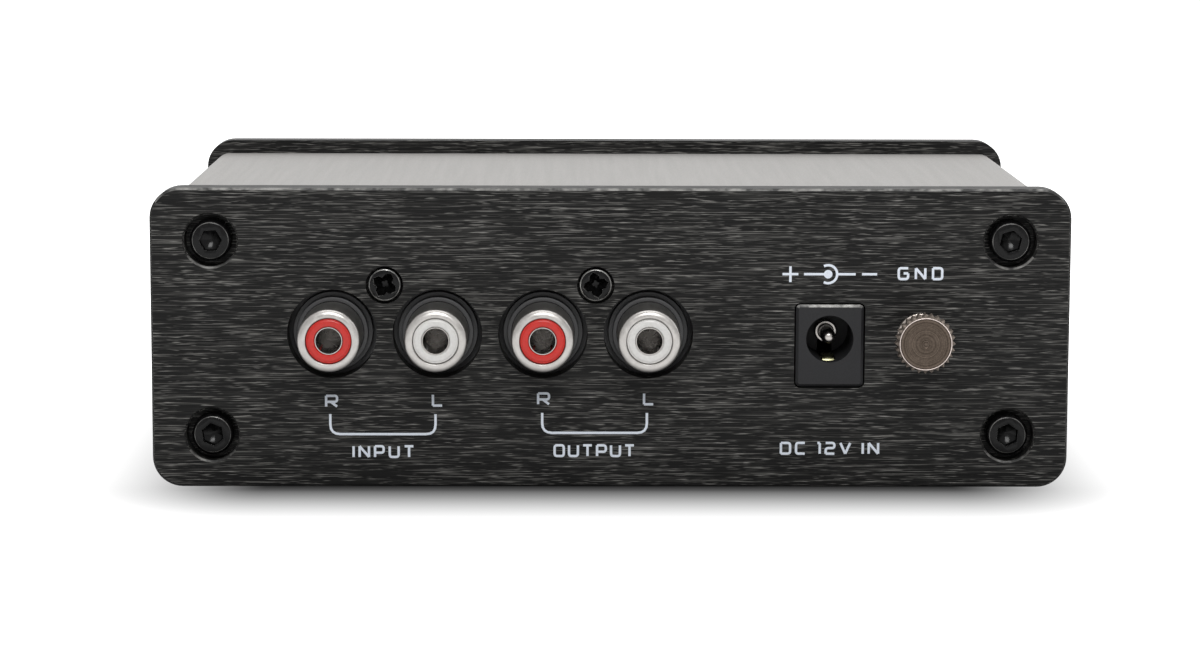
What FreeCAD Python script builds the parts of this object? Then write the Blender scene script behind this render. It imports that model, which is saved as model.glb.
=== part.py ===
import FreeCAD, Part
import math
import os
import re
import Sketcher

# Phono preamp: a black connector panel and a black front panel close the ends of a light metal sleeve.
# X runs right as the connector panel is seen, Y runs from the connector panel to the front panel,
# Z runs up. The origin lies under the middle of the whole, on the surface that the feet stand on.

# Driving dimensions in millimetres
sizes = {
    # both end panels
    "panel_width": 122.0,
    "panel_height": 40.0,
    "panel_thickness": 4.0,
    "panel_corner_radius": 4.0,
    "panel_edge_chamfer": 0.3,
    "case_depth": 80.0,
    # sleeve between the panels
    "side_reveal": 1.2,
    "top_reveal": 2.0,
    "sleeve_corner_radius": 2.2,
    "sleeve_wall": 1.6,
    "screw_channel_diameter": 7.2,
    "channel_web_width": 4.0,
    "rail_reach": 2.6,
    "rail_thickness": 1.2,
    # hex socket screws in the panel corners
    "screw_inset_side": 8.0,
    "screw_inset_top": 7.0,
    "counterbore_diameter": 7.0,
    "counterbore_depth": 3.2,
    "counterbore_chamfer": 0.25,
    "screw_hole_diameter": 3.4,
    "screw_head_diameter": 5.5,
    "screw_head_height": 3.0,
    "screw_head_chamfer": 0.3,
    "screw_thread_diameter": 2.9,
    "screw_length": 10.0,
    "hex_socket_width": 2.5,
    "hex_socket_depth": 1.5,
    # circuit board in the rails
    "board_rise": 1.4,
    "board_thickness": 1.6,
    "board_side_gap": 0.3,
    "board_end_gap": 0.3,
    "board_slot_gap": 0.1,
    "leg_hole_gap": 0.15,
    "leg_length_below": 1.2,
    # phono jacks
    "jack_row_centre": -16.0,
    "jack_pitch": 14.0,
    "jack_pair_gap": 1.6,
    "jack_axis_rise": 7.0,
    "jack_hole_diameter": 11.9,
    "boss_diameter": 10.7,
    "boss_recess": 1.2,
    "housing_side": 0.85,
    "housing_depth": 11.0,
    "jack_screw_rise": 6.5,
    "housing_above_screw": 4.4,
    "shell_diameter": 8.3,
    "shell_bore": 6.06,
    "shell_reach": 7.3,
    "shell_lip": 0.5,
    "shell_hold_diameter": 7.8,
    "shell_hold_depth": 6.0,
    "insulator_recess": 0.2,
    "contact_bore": 3.3,
    "contact_wall": 0.15,
    "contact_recess": 0.15,
    "contact_slit": 0.3,
    "contact_slit_length": 6.0,
    "contact_plate_thickness": 0.5,
    "contact_plate_diameter": 5.4,
    "leg_width": 1.2,
    "leg_thickness": 0.6,
    # cross-head screws that hold the jack housings
    "jack_screw_head_diameter": 4.5,
    "jack_screw_head_height": 1.7,
    "jack_screw_recess_diameter": 5.0,
    "jack_screw_recess_depth": 1.8,
    "jack_screw_thread_diameter": 2.9,
    "jack_screw_length": 9.0,
    "jack_screw_hole_diameter": 3.2,
    "cross_width": 1.0,
    "cross_span": 3.5,
    "cross_depth": 1.0,
    # power jack
    "power_jack_centre": 29.1,
    "power_jack_width": 9.0,
    "power_jack_height": 11.0,
    "power_jack_depth": 14.2,
    "power_jack_reach": 0.3,
    "power_jack_edge": 0.35,
    "power_jack_corner_radius": 0.6,
    "power_cutout_gap": 0.2,
    "power_axis_rise": 6.4,
    "power_bore": 6.3,
    "power_bore_depth": 9.5,
    "power_pin_diameter": 2.0,
    "power_pin_recess": 1.2,
    "power_pin_collar_diameter": 2.9,
    "power_pin_collar_thickness": 0.5,
    "power_pin_root_diameter": 1.6,
    "spring_width": 1.6,
    "spring_thickness": 0.3,
    "spring_slot_gap": 0.2,
    # ground terminal
    "ground_centre": 41.1,
    "ground_height": 20.4,
    "ground_reach": 8.0,
    "ground_head_length": 2.6,
    "ground_head_diameter": 7.9,
    "ground_face_diameter": 7.2,
    "ground_neck_diameter": 5.6,
    "ground_shaft_diameter": 3.9,
    "ground_shaft_inside": 9.5,
    "ground_hole_diameter": 4.4,
    "ground_washer_diameter": 6.2,
    "ground_washer_thickness": 0.8,
    "knurl_depth": 0.35,
    "thread_running_gap": 0.1,
    "seat_gap": 0.05,
    "nut_width": 7.0,
    "nut_thickness": 3.2,
    "lug_thickness": 0.5,
    "lug_ring_diameter": 7.6,
    "lug_tail_width": 2.6,
    "lug_tail_length": 8.4,
    "wire_diameter": 1.4,
    "wire_straight": 2.0,
    "wire_bend_radius": 5.0,
    # power switch and its push button on the front panel
    "switch_from_middle": 40.0,
    "switch_width": 8.5,
    "switch_above_axis": 3.2,
    "switch_depth": 13.0,
    "plunger_width": 3.0,
    "plunger_gap": 0.15,
    "plunger_in_switch": 6.0,
    "plunger_in_button": 3.0,
    "button_diameter": 9.8,
    "button_reach": 4.0,
    "button_edge": 0.6,
    "button_side_gap": 0.25,
    "button_flange_diameter": 11.8,
    "button_flange_thickness": 0.8,
    "button_flange_gap": 0.3,
    "button_travel": 2.5,
    "button_stop_gap": 0.4,
    "button_board_gap": 0.5,
    # power light
    "light_from_middle": 28.0,
    "light_diameter": 3.0,
    "light_reach": 1.2,
    "light_flange_diameter": 3.8,
    "light_flange_thickness": 0.9,
    "holder_flange_diameter": 5.8,
    "holder_flange_thickness": 0.8,
    "holder_diameter": 4.7,
    "holder_depth": 5.0,
    "light_lead_pitch": 2.54,
    "light_lead_width": 0.5,
    "light_lead_run": 3.0,
    # rubber feet
    "foot_drop": 0.8,
    "foot_diameter": 10.0,
    "foot_from_side": 15.0,
    "foot_from_panel": 12.0,
    "foot_edge": 0.5,
    # parts on the board
    "chip_length": 9.8,
    "chip_width": 6.4,
    "chip_height": 3.3,
    "chip_lift": 0.5,
    "chip_leg_width": 0.5,
    "chip_socket_length": 10.4,
    "chip_socket_width": 10.0,
    "chip_socket_height": 4.2,
    "film_length": 7.2,
    "film_width": 3.5,
    "film_height": 7.5,
    "small_can_diameter": 6.3,
    "small_can_height": 11.2,
    "large_can_diameter": 10.0,
    "large_can_height": 16.0,
    "can_groove": 0.3,
    "regulator_width": 10.0,
    "regulator_thickness": 4.5,
    "regulator_height": 15.0,
    "regulator_tab_thickness": 1.3,
    "choke_diameter": 9.0,
    "choke_core_diameter": 5.0,
    "choke_height": 9.0,
    "choke_flange": 1.2,
    "diode_length": 5.2,
    "diode_diameter": 2.7,
    "resistor_length": 6.3,
    "resistor_diameter": 2.3,
    "resistor_pitch": 4.0,
    "lead_diameter": 0.6,
    "lead_reach": 2.2,
    "leg_pitch": 2.54,
    "chip_socket_rim": 1.2,
    # where the parts stand on the board: across from the middle, and rows behind the connector panel
    "film_row": 24.0,
    "film_first": -42.0,
    "film_pitch": 12.0,
    "chip_row": 34.0,
    "chip_first": -32.0,
    "chip_pitch": 22.0,
    "can_row": 46.0,
    "small_can_first": -40.0,
    "small_can_pitch": 16.0,
    "large_can_across": 6.0,
    "supply_row": 29.0,
    "regulator_across": 8.0,
    "supply_can_across": 20.0,
    "choke_across": 34.0,
    "diode_across": 44.0,
    "resistor_row": 56.0,
    "resistor_first": -46.0,
    # close fits
    "fit_gap": 0.05,
}

# Places worked out from the sizes above; heights are measured from the panels' lower edge
places = {
    "case_centre": "(ground_reach - button_reach) / 2",
    "rear_face": "case_centre - case_depth / 2",
    "front_face": "case_centre + case_depth / 2",
    "sleeve_width": "panel_width - 2 * side_reveal",
    "sleeve_length": "case_depth - 2 * panel_thickness",
    "inner_half_width": "sleeve_width / 2 - sleeve_wall",
    "inner_floor": "top_reveal + sleeve_wall",
    "inner_roof": "panel_height - top_reveal - sleeve_wall",
    "screw_side": "panel_width / 2 - screw_inset_side",
    "board_bottom": "screw_inset_top + screw_channel_diameter / 2 + board_rise",
    "board_top": "board_bottom + board_thickness",
    "board_half_width": "inner_half_width - board_side_gap",
    "leg_end": "board_bottom - leg_length_below",
    "housing_width": "jack_pitch + boss_diameter + 2 * housing_side",
    "pair_offset": "(housing_width + jack_pair_gap) / 2",
    "jack_axis": "board_top + jack_axis_rise",
    "jack_screw_axis": "jack_axis + jack_screw_rise",
    "housing_back": "panel_thickness + housing_depth",
    "insulator_front": "insulator_recess - shell_reach",
    "contact_front": "insulator_front + contact_recess",
    "contact_radius": "contact_bore / 2 + contact_wall",
    "power_axis": "board_top + power_axis_rise",
    "power_jack_top": "board_top + power_jack_height",
    "ground_seat": "seat_gap + ground_washer_thickness",
    "lug_back": "panel_thickness + lug_thickness",
    "switch_axis": "board_top + button_flange_diameter / 2 + button_board_gap",
    "flange_back": "panel_thickness + button_flange_gap + button_flange_thickness",
    "switch_front": "flange_back + button_travel + button_stop_gap",
    "light_back": "holder_depth + fit_gap + light_flange_thickness",
}

doc = FreeCAD.newDocument("PhonoPreamp")
sheet = doc.addObject("Spreadsheet::Sheet", "Sizes")
for row, (alias, value) in enumerate(sizes.items(), start=1):
    sheet.set(f"A{row}", alias)
    sheet.set(f"B{row}", str(value))
    sheet.setAlias(f"B{row}", alias)
doc.recompute()

subparts = []
cuts = []


# A formula in plain size names becomes one that reads the sheet
def bound(text):
    def swap(found):
        word = found.group()
        if word in places:
            return "(" + bound(places[word]) + ")"
        return "Sizes." + word if word in sizes else word
    return re.sub(r"[a-z_]+", swap, text)


def place(part, across="0", along="0", up="0", turn=0):
    part.Placement = FreeCAD.Placement(
        FreeCAD.Vector(0, 0, 0), FreeCAD.Rotation(FreeCAD.Vector(0, 0, 1), turn))
    for axis, text in (("x", across), ("y", along), ("z", up)):
        part.setExpression(f"Placement.Base.{axis}", bound(text))


def finish(part, label):
    part.Label = label
    subparts.append(part)
    return part


# A piece on the connector panel: its own Y starts at the panel's outer face and runs inwards
def rear_body(label, across="0", up="0"):
    part = doc.addObject("PartDesign::Body", label)
    place(part, across, "rear_face", f"foot_drop + {up}")
    return finish(part, label)


# A piece on the front panel: turned half round, so that its own Y also runs inwards
def front_body(label, across="0", up="0"):
    part = doc.addObject("PartDesign::Body", label)
    place(part, f"-({across})", "front_face", f"foot_drop + {up}", turn=180)
    return finish(part, label)


def origin_plane(part, role):
    return next(item for item in part.Origin.OriginFeatures if item.Role == role)


def box_points(left, right, low, high):
    return [(left, low), (right, low), (right, high), (left, high)]


def middle_box(width, low, high):
    return box_points(f"-({width}) / 2", f"({width}) / 2", low, high)


# Closed outlines and circles, every point held at its distance from the origin by a formula
def sketch(part, name, role, outlines=(), circles=(), lift="0"):
    made = part.newObject("Sketcher::SketchObject", name)
    made.AttachmentSupport = [(origin_plane(part, role), "")]
    made.MapMode = "FlatFace"
    sign = "-" if role == "XZ_Plane" else ""
    made.setExpression("AttachmentOffset.Base.z", bound(f"{sign}({lift})"))
    for points in outlines:
        first = made.GeometryCount
        count = len(points)
        ring = [FreeCAD.Vector(math.cos(2 * math.pi * n / count), math.sin(2 * math.pi * n / count), 0)
                for n in range(count)]
        for n in range(count):
            made.addGeometry(Part.LineSegment(ring[n], ring[(n + 1) % count]), False)
        for n in range(count):
            made.addConstraint(
                Sketcher.Constraint("Coincident", first + n, 2, first + (n + 1) % count, 1))
        for n, (across, up) in enumerate(points):
            hold_point(made, first + n, 1, across, up)
    for across, up, diameter in circles:
        circle = made.addGeometry(Part.Circle(FreeCAD.Vector(0, 0, 0), FreeCAD.Vector(0, 0, 1), 1), False)
        hold_point(made, circle, 3, across, up)
        row = made.addConstraint(Sketcher.Constraint("Diameter", circle, 2.0))
        made.setExpression(f"Constraints[{row}]", bound(diameter))
    return made


def hold_point(made, geometry, point, across, up):
    for kind, axis, text in (("DistanceX", -2, across), ("DistanceY", -1, up)):
        if text == "0":
            made.addConstraint(Sketcher.Constraint("PointOnObject", geometry, point, axis))
        else:
            row = made.addConstraint(Sketcher.Constraint(kind, -1, 1, geometry, point, 1.0))
            made.setExpression(f"Constraints[{row}]", bound(text))


# Material added from a sketch towards the positive end of the axis that the sketch faces
def pad(part, name, role, length, outlines=(), circles=(), lift="0", middle=False):
    made = part.newObject("PartDesign::Pad", name)
    made.Profile = sketch(part, name + "Sketch", role, outlines, circles, lift)
    made.setExpression("Length", bound(length))
    made.Midplane = middle
    made.Reversed = role == "XZ_Plane" and not middle
    return made


# Material taken away from a sketch towards the positive end of the axis that the sketch faces
def pocket(part, name, role, length, outlines=(), circles=(), lift="0"):
    made = part.newObject("PartDesign::Pocket", name)
    made.Profile = sketch(part, name + "Sketch", role, outlines, circles, lift)
    made.setExpression("Length", bound(length))
    made.Reversed = role != "XZ_Plane"
    cuts.append(made)
    return made


# A turned shape: each point is (radius, place along the axis)
def turned(part, name, points, role="XY_Plane"):
    profile = sketch(part, name + "Sketch", role, [points])
    made = part.newObject("PartDesign::Revolution", name)
    made.Profile = profile
    made.ReferenceAxis = (profile, ["V_Axis"])
    made.Angle = 360
    return made


def dress(part, kind, name, size_name, size_text, keep):
    doc.recompute()
    base = part.Tip
    edges = [f"Edge{n}" for n, edge in enumerate(base.Shape.Edges, start=1) if keep(edge)]
    made = part.newObject(kind, name)
    made.Base = (base, edges)
    made.setExpression(size_name, bound(size_text))
    return made


def fillet(part, name, radius, keep):
    return dress(part, "PartDesign::Fillet", name, "Radius", radius, keep)


def chamfer(part, name, size, keep):
    return dress(part, "PartDesign::Chamfer", name, "Size", size, keep)


def is_straight_along(edge, axis):
    return edge.Curve.TypeId == "Part::GeomLine" and abs(edge.Curve.Direction.dot(axis)) > 0.999


def lies_flat_at(edge, level):
    return abs(edge.BoundBox.YMin - level) < 1e-4 and abs(edge.BoundBox.YMax - level) < 1e-4


def is_rim(edge, diameter, level):
    round_edge = edge.Curve.TypeId == "Part::GeomCircle" and abs(edge.Curve.Radius - diameter / 2) < 1e-4
    return round_edge and lies_flat_at(edge, level)


def group(label, members):
    made = doc.addObject("Part::Compound", label)
    made.Links = members
    return made


def mirrored(label, source, normal, axis, text):
    made = doc.addObject("Part::Mirroring", label)
    made.Source = source
    made.Normal = normal
    made.setExpression(f"Base.{axis}", bound(text))
    return made


along_x = FreeCAD.Vector(1, 0, 0)
along_y = FreeCAD.Vector(0, 1, 0)
along_z = FreeCAD.Vector(0, 0, 1)
corner_points = [(side, height)
                 for side in ("-screw_side", "screw_side")
                 for height in ("screw_inset_top", "panel_height - screw_inset_top")]


# Sleeve: extruded tube with a screw channel in each corner and a pair of board rails on each side
def make_sleeve():
    part = rear_body("case_sleeve")
    half = "sleeve_width / 2"
    pad(part, "Tube", "XZ_Plane", "sleeve_length",
        [box_points(f"-{half}", half, "top_reveal", "panel_height - top_reveal")],
        lift="panel_thickness")
    fillet(part, "TubeCorners", "sleeve_corner_radius", lambda edge: is_straight_along(edge, along_y))
    pocket(part, "Inside", "XZ_Plane", "sleeve_length",
           [box_points("-inner_half_width", "inner_half_width", "inner_floor", "inner_roof")],
           lift="panel_thickness")
    pad(part, "Channels", "XZ_Plane", "sleeve_length",
        circles=[(side, height, "screw_channel_diameter") for side, height in corner_points],
        lift="panel_thickness")
    for number, side in enumerate(("-screw_side", "screw_side")):
        left = f"{side} - channel_web_width / 2"
        right = f"{side} + channel_web_width / 2"
        pad(part, f"LowWeb{number}", "XZ_Plane", "sleeve_length",
            [box_points(left, right, "top_reveal + sleeve_wall / 2", "screw_inset_top")],
            lift="panel_thickness")
        pad(part, f"HighWeb{number}", "XZ_Plane", "sleeve_length",
            [box_points(left, right, "panel_height - screw_inset_top",
                        "panel_height - top_reveal - sleeve_wall / 2")],
            lift="panel_thickness")
    rail_inner = "inner_half_width - rail_reach"
    rail_outer = "inner_half_width + sleeve_wall / 2"
    for name, low in (("LowRail", "board_bottom - board_slot_gap - rail_thickness"),
                      ("HighRail", "board_top + board_slot_gap")):
        high = f"{low} + rail_thickness"
        pad(part, name + "Left", "XZ_Plane", "sleeve_length",
            [box_points(f"-({rail_outer})", f"-({rail_inner})", low, high)], lift="panel_thickness")
        pad(part, name + "Right", "XZ_Plane", "sleeve_length",
            [box_points(rail_inner, rail_outer, low, high)], lift="panel_thickness")
    pocket(part, "ChannelHoles", "XZ_Plane", "sleeve_length",
           circles=[(side, height, "screw_thread_diameter + 2 * fit_gap") for side, height in corner_points],
           lift="panel_thickness")


# Panel blank with rounded corners, a fine bevel round the outer face and four counterbored holes
def panel_blank(part):
    pad(part, "Plate", "XZ_Plane", "panel_thickness", [middle_box("panel_width", "0", "panel_height")])
    fillet(part, "PlateCorners", "panel_corner_radius", lambda edge: is_straight_along(edge, along_y))
    chamfer(part, "OuterEdge", "panel_edge_chamfer", lambda edge: lies_flat_at(edge, 0))
    pocket(part, "Counterbores", "XZ_Plane", "counterbore_depth",
           circles=[(side, height, "counterbore_diameter") for side, height in corner_points])
    pocket(part, "ScrewHoles", "XZ_Plane", "panel_thickness",
           circles=[(side, height, "screw_hole_diameter") for side, height in corner_points])
    chamfer(part, "CounterboreEdge", "counterbore_chamfer",
            lambda edge: is_rim(edge, sizes["counterbore_diameter"], 0))


jack_pairs = {
    "input": "jack_row_centre - pair_offset",
    "output": "jack_row_centre + pair_offset",
}
jack_sides = {
    "right": "-jack_pitch / 2",
    "left": "jack_pitch / 2",
}


def make_connector_panel():
    part = rear_body("connector_panel")
    panel_blank(part)
    pocket(part, "JackHoles", "XZ_Plane", "panel_thickness",
           circles=[(f"{centre} + {side}", "jack_axis", "jack_hole_diameter")
                    for centre in jack_pairs.values() for side in jack_sides.values()])
    pocket(part, "JackScrewRecesses", "XZ_Plane", "jack_screw_recess_depth",
           circles=[(centre, "jack_screw_axis", "jack_screw_recess_diameter")
                    for centre in jack_pairs.values()])
    pocket(part, "JackScrewHoles", "XZ_Plane", "panel_thickness",
           circles=[(centre, "jack_screw_axis", "jack_screw_hole_diameter")
                    for centre in jack_pairs.values()])
    pocket(part, "GroundHole", "XZ_Plane", "panel_thickness",
           circles=[("ground_centre", "ground_height", "ground_hole_diameter")])
    half = "power_jack_width / 2 + power_cutout_gap"
    cutout = pocket(part, "PowerCutout", "XZ_Plane", "panel_thickness",
                    [box_points(f"power_jack_centre - ({half})", f"power_jack_centre + {half}",
                                "board_top - power_cutout_gap", "power_jack_top + power_cutout_gap")])
    doc.recompute()
    area = cutout.Profile[0].Shape.BoundBox
    fillet(part, "PowerCutoutCorners", "power_jack_corner_radius + power_cutout_gap",
           lambda edge: is_straight_along(edge, along_y)
           and area.XMin - 0.01 < edge.BoundBox.Center.x < area.XMax + 0.01)


def make_front_panel():
    part = front_body("front_panel")
    panel_blank(part)
    pocket(part, "ButtonHole", "XZ_Plane", "panel_thickness",
           circles=[("-switch_from_middle", "switch_axis", "button_diameter + 2 * button_side_gap")])
    pocket(part, "LightHole", "XZ_Plane", "panel_thickness",
           circles=[("-light_from_middle", "switch_axis", "holder_diameter + 2 * fit_gap")])


# Hex socket cap screw: head in the counterbore, thread in the sleeve's channel
def make_panel_screws():
    screw = doc.addObject("PartDesign::Body", "panel_screw")
    place(screw, "screw_side", "rear_face", "foot_drop + panel_height - screw_inset_top")
    radius = "screw_head_diameter / 2"
    seat = "counterbore_depth"
    top = f"{seat} - screw_head_height"
    thread = "screw_thread_diameter / 2"
    turned(screw, "HeadAndThread", [
        ("0", top), (f"{radius} - screw_head_chamfer", top), (radius, f"{top} + screw_head_chamfer"),
        (radius, seat), (thread, seat), (thread, f"{seat} + screw_length"), ("0", f"{seat} + screw_length")])
    across_corners = "hex_socket_width / sqrt(3)"
    flat = "hex_socket_width / 2"
    pocket(screw, "HexSocket", "XZ_Plane", "hex_socket_depth", [[
        (across_corners, "0"), (f"{across_corners} / 2", flat), (f"-{across_corners} / 2", flat),
        (f"-{across_corners}", "0"), (f"-{across_corners} / 2", f"-{flat}"),
        (f"{across_corners} / 2", f"-{flat}")]], lift=top)
    across = mirrored("panel_screw_across", screw, along_x, "x", "0")
    upper = group("upper_screws", [screw, across])
    lower = mirrored("lower_screws", upper, along_z, "z", "foot_drop + panel_height / 2")
    rear = finish(group("rear_screws", [upper, lower]), "connector_panel_screws")
    front = finish(mirrored("front_screws", rear, along_y, "y", "case_centre"), "front_panel_screws")
    return front


# Jack pair housing: block on the board behind the panel, with a round boss in each panel hole
def make_jack_housing(label, centre):
    part = rear_body(label, centre)
    sides = list(jack_sides.values())
    pad(part, "Block", "XZ_Plane", "housing_depth",
        [middle_box("housing_width", "board_top", "jack_screw_axis + housing_above_screw")],
        lift="panel_thickness")
    pad(part, "Bosses", "XZ_Plane", "panel_thickness - boss_recess + sleeve_wall",
        circles=[(side, "jack_axis", "boss_diameter") for side in sides], lift="boss_recess")
    pocket(part, "Bores", "XZ_Plane", "housing_back",
           circles=[(side, "jack_axis", "shell_hold_diameter + 2 * fit_gap") for side in sides])
    pocket(part, "ScrewHole", "XZ_Plane", "jack_screw_length",
           circles=[("0", "jack_screw_axis", "jack_screw_thread_diameter + 2 * fit_gap")],
           lift="panel_thickness")
    slot_front = "shell_hold_depth - leg_thickness - fit_gap"
    half = "(leg_width / 2 + fit_gap)"
    pocket(part, "LegSlots", "XY_Plane", "jack_axis_rise",
           [box_points(f"{side} - {half}", f"{side} + {half}", slot_front, "shell_hold_depth + fit_gap")
            for side in sides], lift="board_top")


# Jack shell: outer contact that the plug grips, stepped down where the housing holds it
def make_shell(label, across):
    part = rear_body(label, across, "jack_axis")
    outer = "shell_diameter / 2"
    bore = "shell_bore / 2"
    front = "-shell_reach"
    held = "shell_hold_diameter / 2"
    turned(part, "Barrel", [
        (bore, f"{front} + shell_lip / 3"), (f"{bore} + shell_lip / 3", front),
        (f"{outer} - shell_lip", front), (outer, f"{front} + shell_lip"), (outer, "boss_recess"),
        (held, "boss_recess"), (held, "shell_hold_depth"), (bore, "shell_hold_depth")])
    pad(part, "Leg", "XZ_Plane", "leg_thickness",
        [middle_box("leg_width", "leg_end - jack_axis", f"-({bore} + {held}) / 2")],
        lift="shell_hold_depth - leg_thickness")


# Coloured insulator: ring inside the shell with a wider foot behind it
def make_insulator(label, across):
    part = rear_body(label, across, "jack_axis")
    front = "insulator_front"
    inner = "contact_radius + fit_gap"
    outer = "shell_bore / 2 - fit_gap"
    foot = "shell_hold_depth + fit_gap"
    turned(part, "Ring", [
        (inner, front), (outer, front), (outer, foot), ("shell_hold_diameter / 2", foot),
        ("shell_hold_diameter / 2", "housing_back"), (inner, "housing_back")])


# Centre contact: slit tube inside the insulator, closed by a plate whose leg goes into the board
def make_contact(label, across):
    part = rear_body(label, across, "jack_axis")
    bore = "contact_bore / 2"
    outer = "contact_radius"
    back = "housing_back"
    plate = "contact_plate_diameter / 2"
    turned(part, "Tube", [
        (bore, "contact_front"), (outer, "contact_front"), (outer, back), (plate, back),
        (plate, f"{back} + contact_plate_thickness"), ("0", f"{back} + contact_plate_thickness"),
        ("0", back), (bore, back)])
    reach = "contact_plate_diameter / 2"
    pocket(part, "UprightSlit", "XZ_Plane", "contact_slit_length",
           [middle_box("contact_slit", f"-{reach}", reach)], lift="contact_front")
    pocket(part, "LevelSlit", "XZ_Plane", "contact_slit_length",
           [middle_box("contact_plate_diameter", "-contact_slit / 2", "contact_slit / 2")],
           lift="contact_front")
    pad(part, "Leg", "XZ_Plane", "contact_plate_thickness",
        [middle_box("leg_width", "leg_end - jack_axis", f"-{reach} / 2")], lift=back)


# Cross-head screw through the panel into each jack housing
def make_jack_screws():
    made = []
    for pair, centre in jack_pairs.items():
        part = doc.addObject("PartDesign::Body", f"{pair}_jack_screw")
        place(part, centre, "rear_face", "foot_drop + jack_screw_axis")
        seat = "jack_screw_recess_depth"
        top = f"{seat} - jack_screw_head_height"
        radius = "jack_screw_head_diameter / 2"
        thread = "jack_screw_thread_diameter / 2"
        tip = f"{seat} + jack_screw_length"
        turned(part, "HeadAndThread", [
            ("0", top), (f"{radius} * 0.6", f"{top} + jack_screw_head_height * 0.06"),
            (f"{radius} * 0.9", f"{top} + jack_screw_head_height * 0.3"),
            (radius, f"{top} + jack_screw_head_height * 0.6"), (radius, seat), (thread, seat),
            (thread, f"{tip} - {thread}"), ("0", tip)])
        for name, width, height in (("UprightSlot", "cross_width", "cross_span"),
                                    ("LevelSlot", "cross_span", "cross_width")):
            pocket(part, name, "XZ_Plane", "cross_depth",
                   [middle_box(width, f"-{height} / 2", f"{height} / 2")], lift=top)
        made.append(part)
    finish(group("jack_screws", made), "jack_fixing_screws")


def make_power_jack():
    part = rear_body("power_jack_housing", "power_jack_centre")
    pad(part, "Block", "XZ_Plane", "power_jack_depth + power_jack_reach",
        [middle_box("power_jack_width", "board_top", "power_jack_top")], lift="-power_jack_reach")
    fillet(part, "BlockCorners", "power_jack_corner_radius", lambda edge: is_straight_along(edge, along_y))
    chamfer(part, "FaceEdge", "power_jack_edge", lambda edge: lies_flat_at(edge, -sizes["power_jack_reach"]))
    pocket(part, "Bore", "XZ_Plane", "power_bore_depth + power_jack_reach",
           circles=[("0", "power_axis", "power_bore")], lift="-power_jack_reach")
    pocket(part, "PinHole", "XZ_Plane", "power_jack_depth",
           circles=[("0", "power_axis", "power_pin_root_diameter + 2 * fit_gap")])
    pocket(part, "SpringSlot", "XY_Plane", "power_axis_rise",
           [middle_box("spring_width + 2 * spring_slot_gap", "power_pin_recess + spring_thickness",
                       "power_jack_depth")], lift="board_top")

    pin = rear_body("power_jack_pin", "power_jack_centre", "power_axis")
    radius = "power_pin_diameter / 2"
    back = "power_jack_depth"
    root = "power_pin_root_diameter / 2"
    collar = "power_pin_collar_diameter / 2"
    collar_front = "power_bore_depth - power_pin_collar_thickness"
    plate = "power_pin_diameter * 0.8"
    turned(pin, "Pin", [
        ("0", "power_pin_recess"), (f"{radius} * 0.5", f"power_pin_recess + {radius} * 0.13"),
        (f"{radius} * 0.87", f"power_pin_recess + {radius} * 0.5"), (radius, f"power_pin_recess + {radius}"),
        (radius, collar_front), (collar, collar_front), (collar, "power_bore_depth"),
        (root, "power_bore_depth"), (root, back), (plate, back), (plate, f"{back} + leg_thickness"), ("0", f"{back} + leg_thickness")])
    pad(pin, "Leg", "XZ_Plane", "leg_thickness",
        [middle_box("leg_width", "leg_end - power_axis", f"-{root} * 0.5")], lift=back)

    # Leaf spring: rises from its leg at the back to a hump under the plug, then dips at the mouth
    spring = rear_body("power_jack_spring", "power_jack_centre", "power_axis")
    thick = "spring_thickness"
    leg_back = "power_jack_depth - spring_slot_gap"
    knee = "power_jack_depth * 0.62"
    hump = "power_bore_depth * 0.42"
    mouth = "power_pin_recess + 4 * spring_thickness"
    floor_line = "-(power_axis_rise - leg_thickness)"
    knee_line = "-(power_bore / 2 + 2 * spring_thickness)"
    hump_line = "-(power_bore / 2 - 2 * spring_thickness)"
    pad(spring, "Leaf", "YZ_Plane", "spring_width", [[
        (leg_back, floor_line), (knee, knee_line), (hump, hump_line), (mouth, "-power_bore / 2"),
        (mouth, f"-power_bore / 2 - {thick}"), (hump, f"{hump_line} - {thick}"),
        (knee, f"{knee_line} - {thick}"), (f"{leg_back} - leg_thickness", f"{floor_line} - {thick}"),
        (f"{leg_back} - leg_thickness", "leg_end - power_axis"), (leg_back, "leg_end - power_axis")]],
        middle=True)


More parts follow.
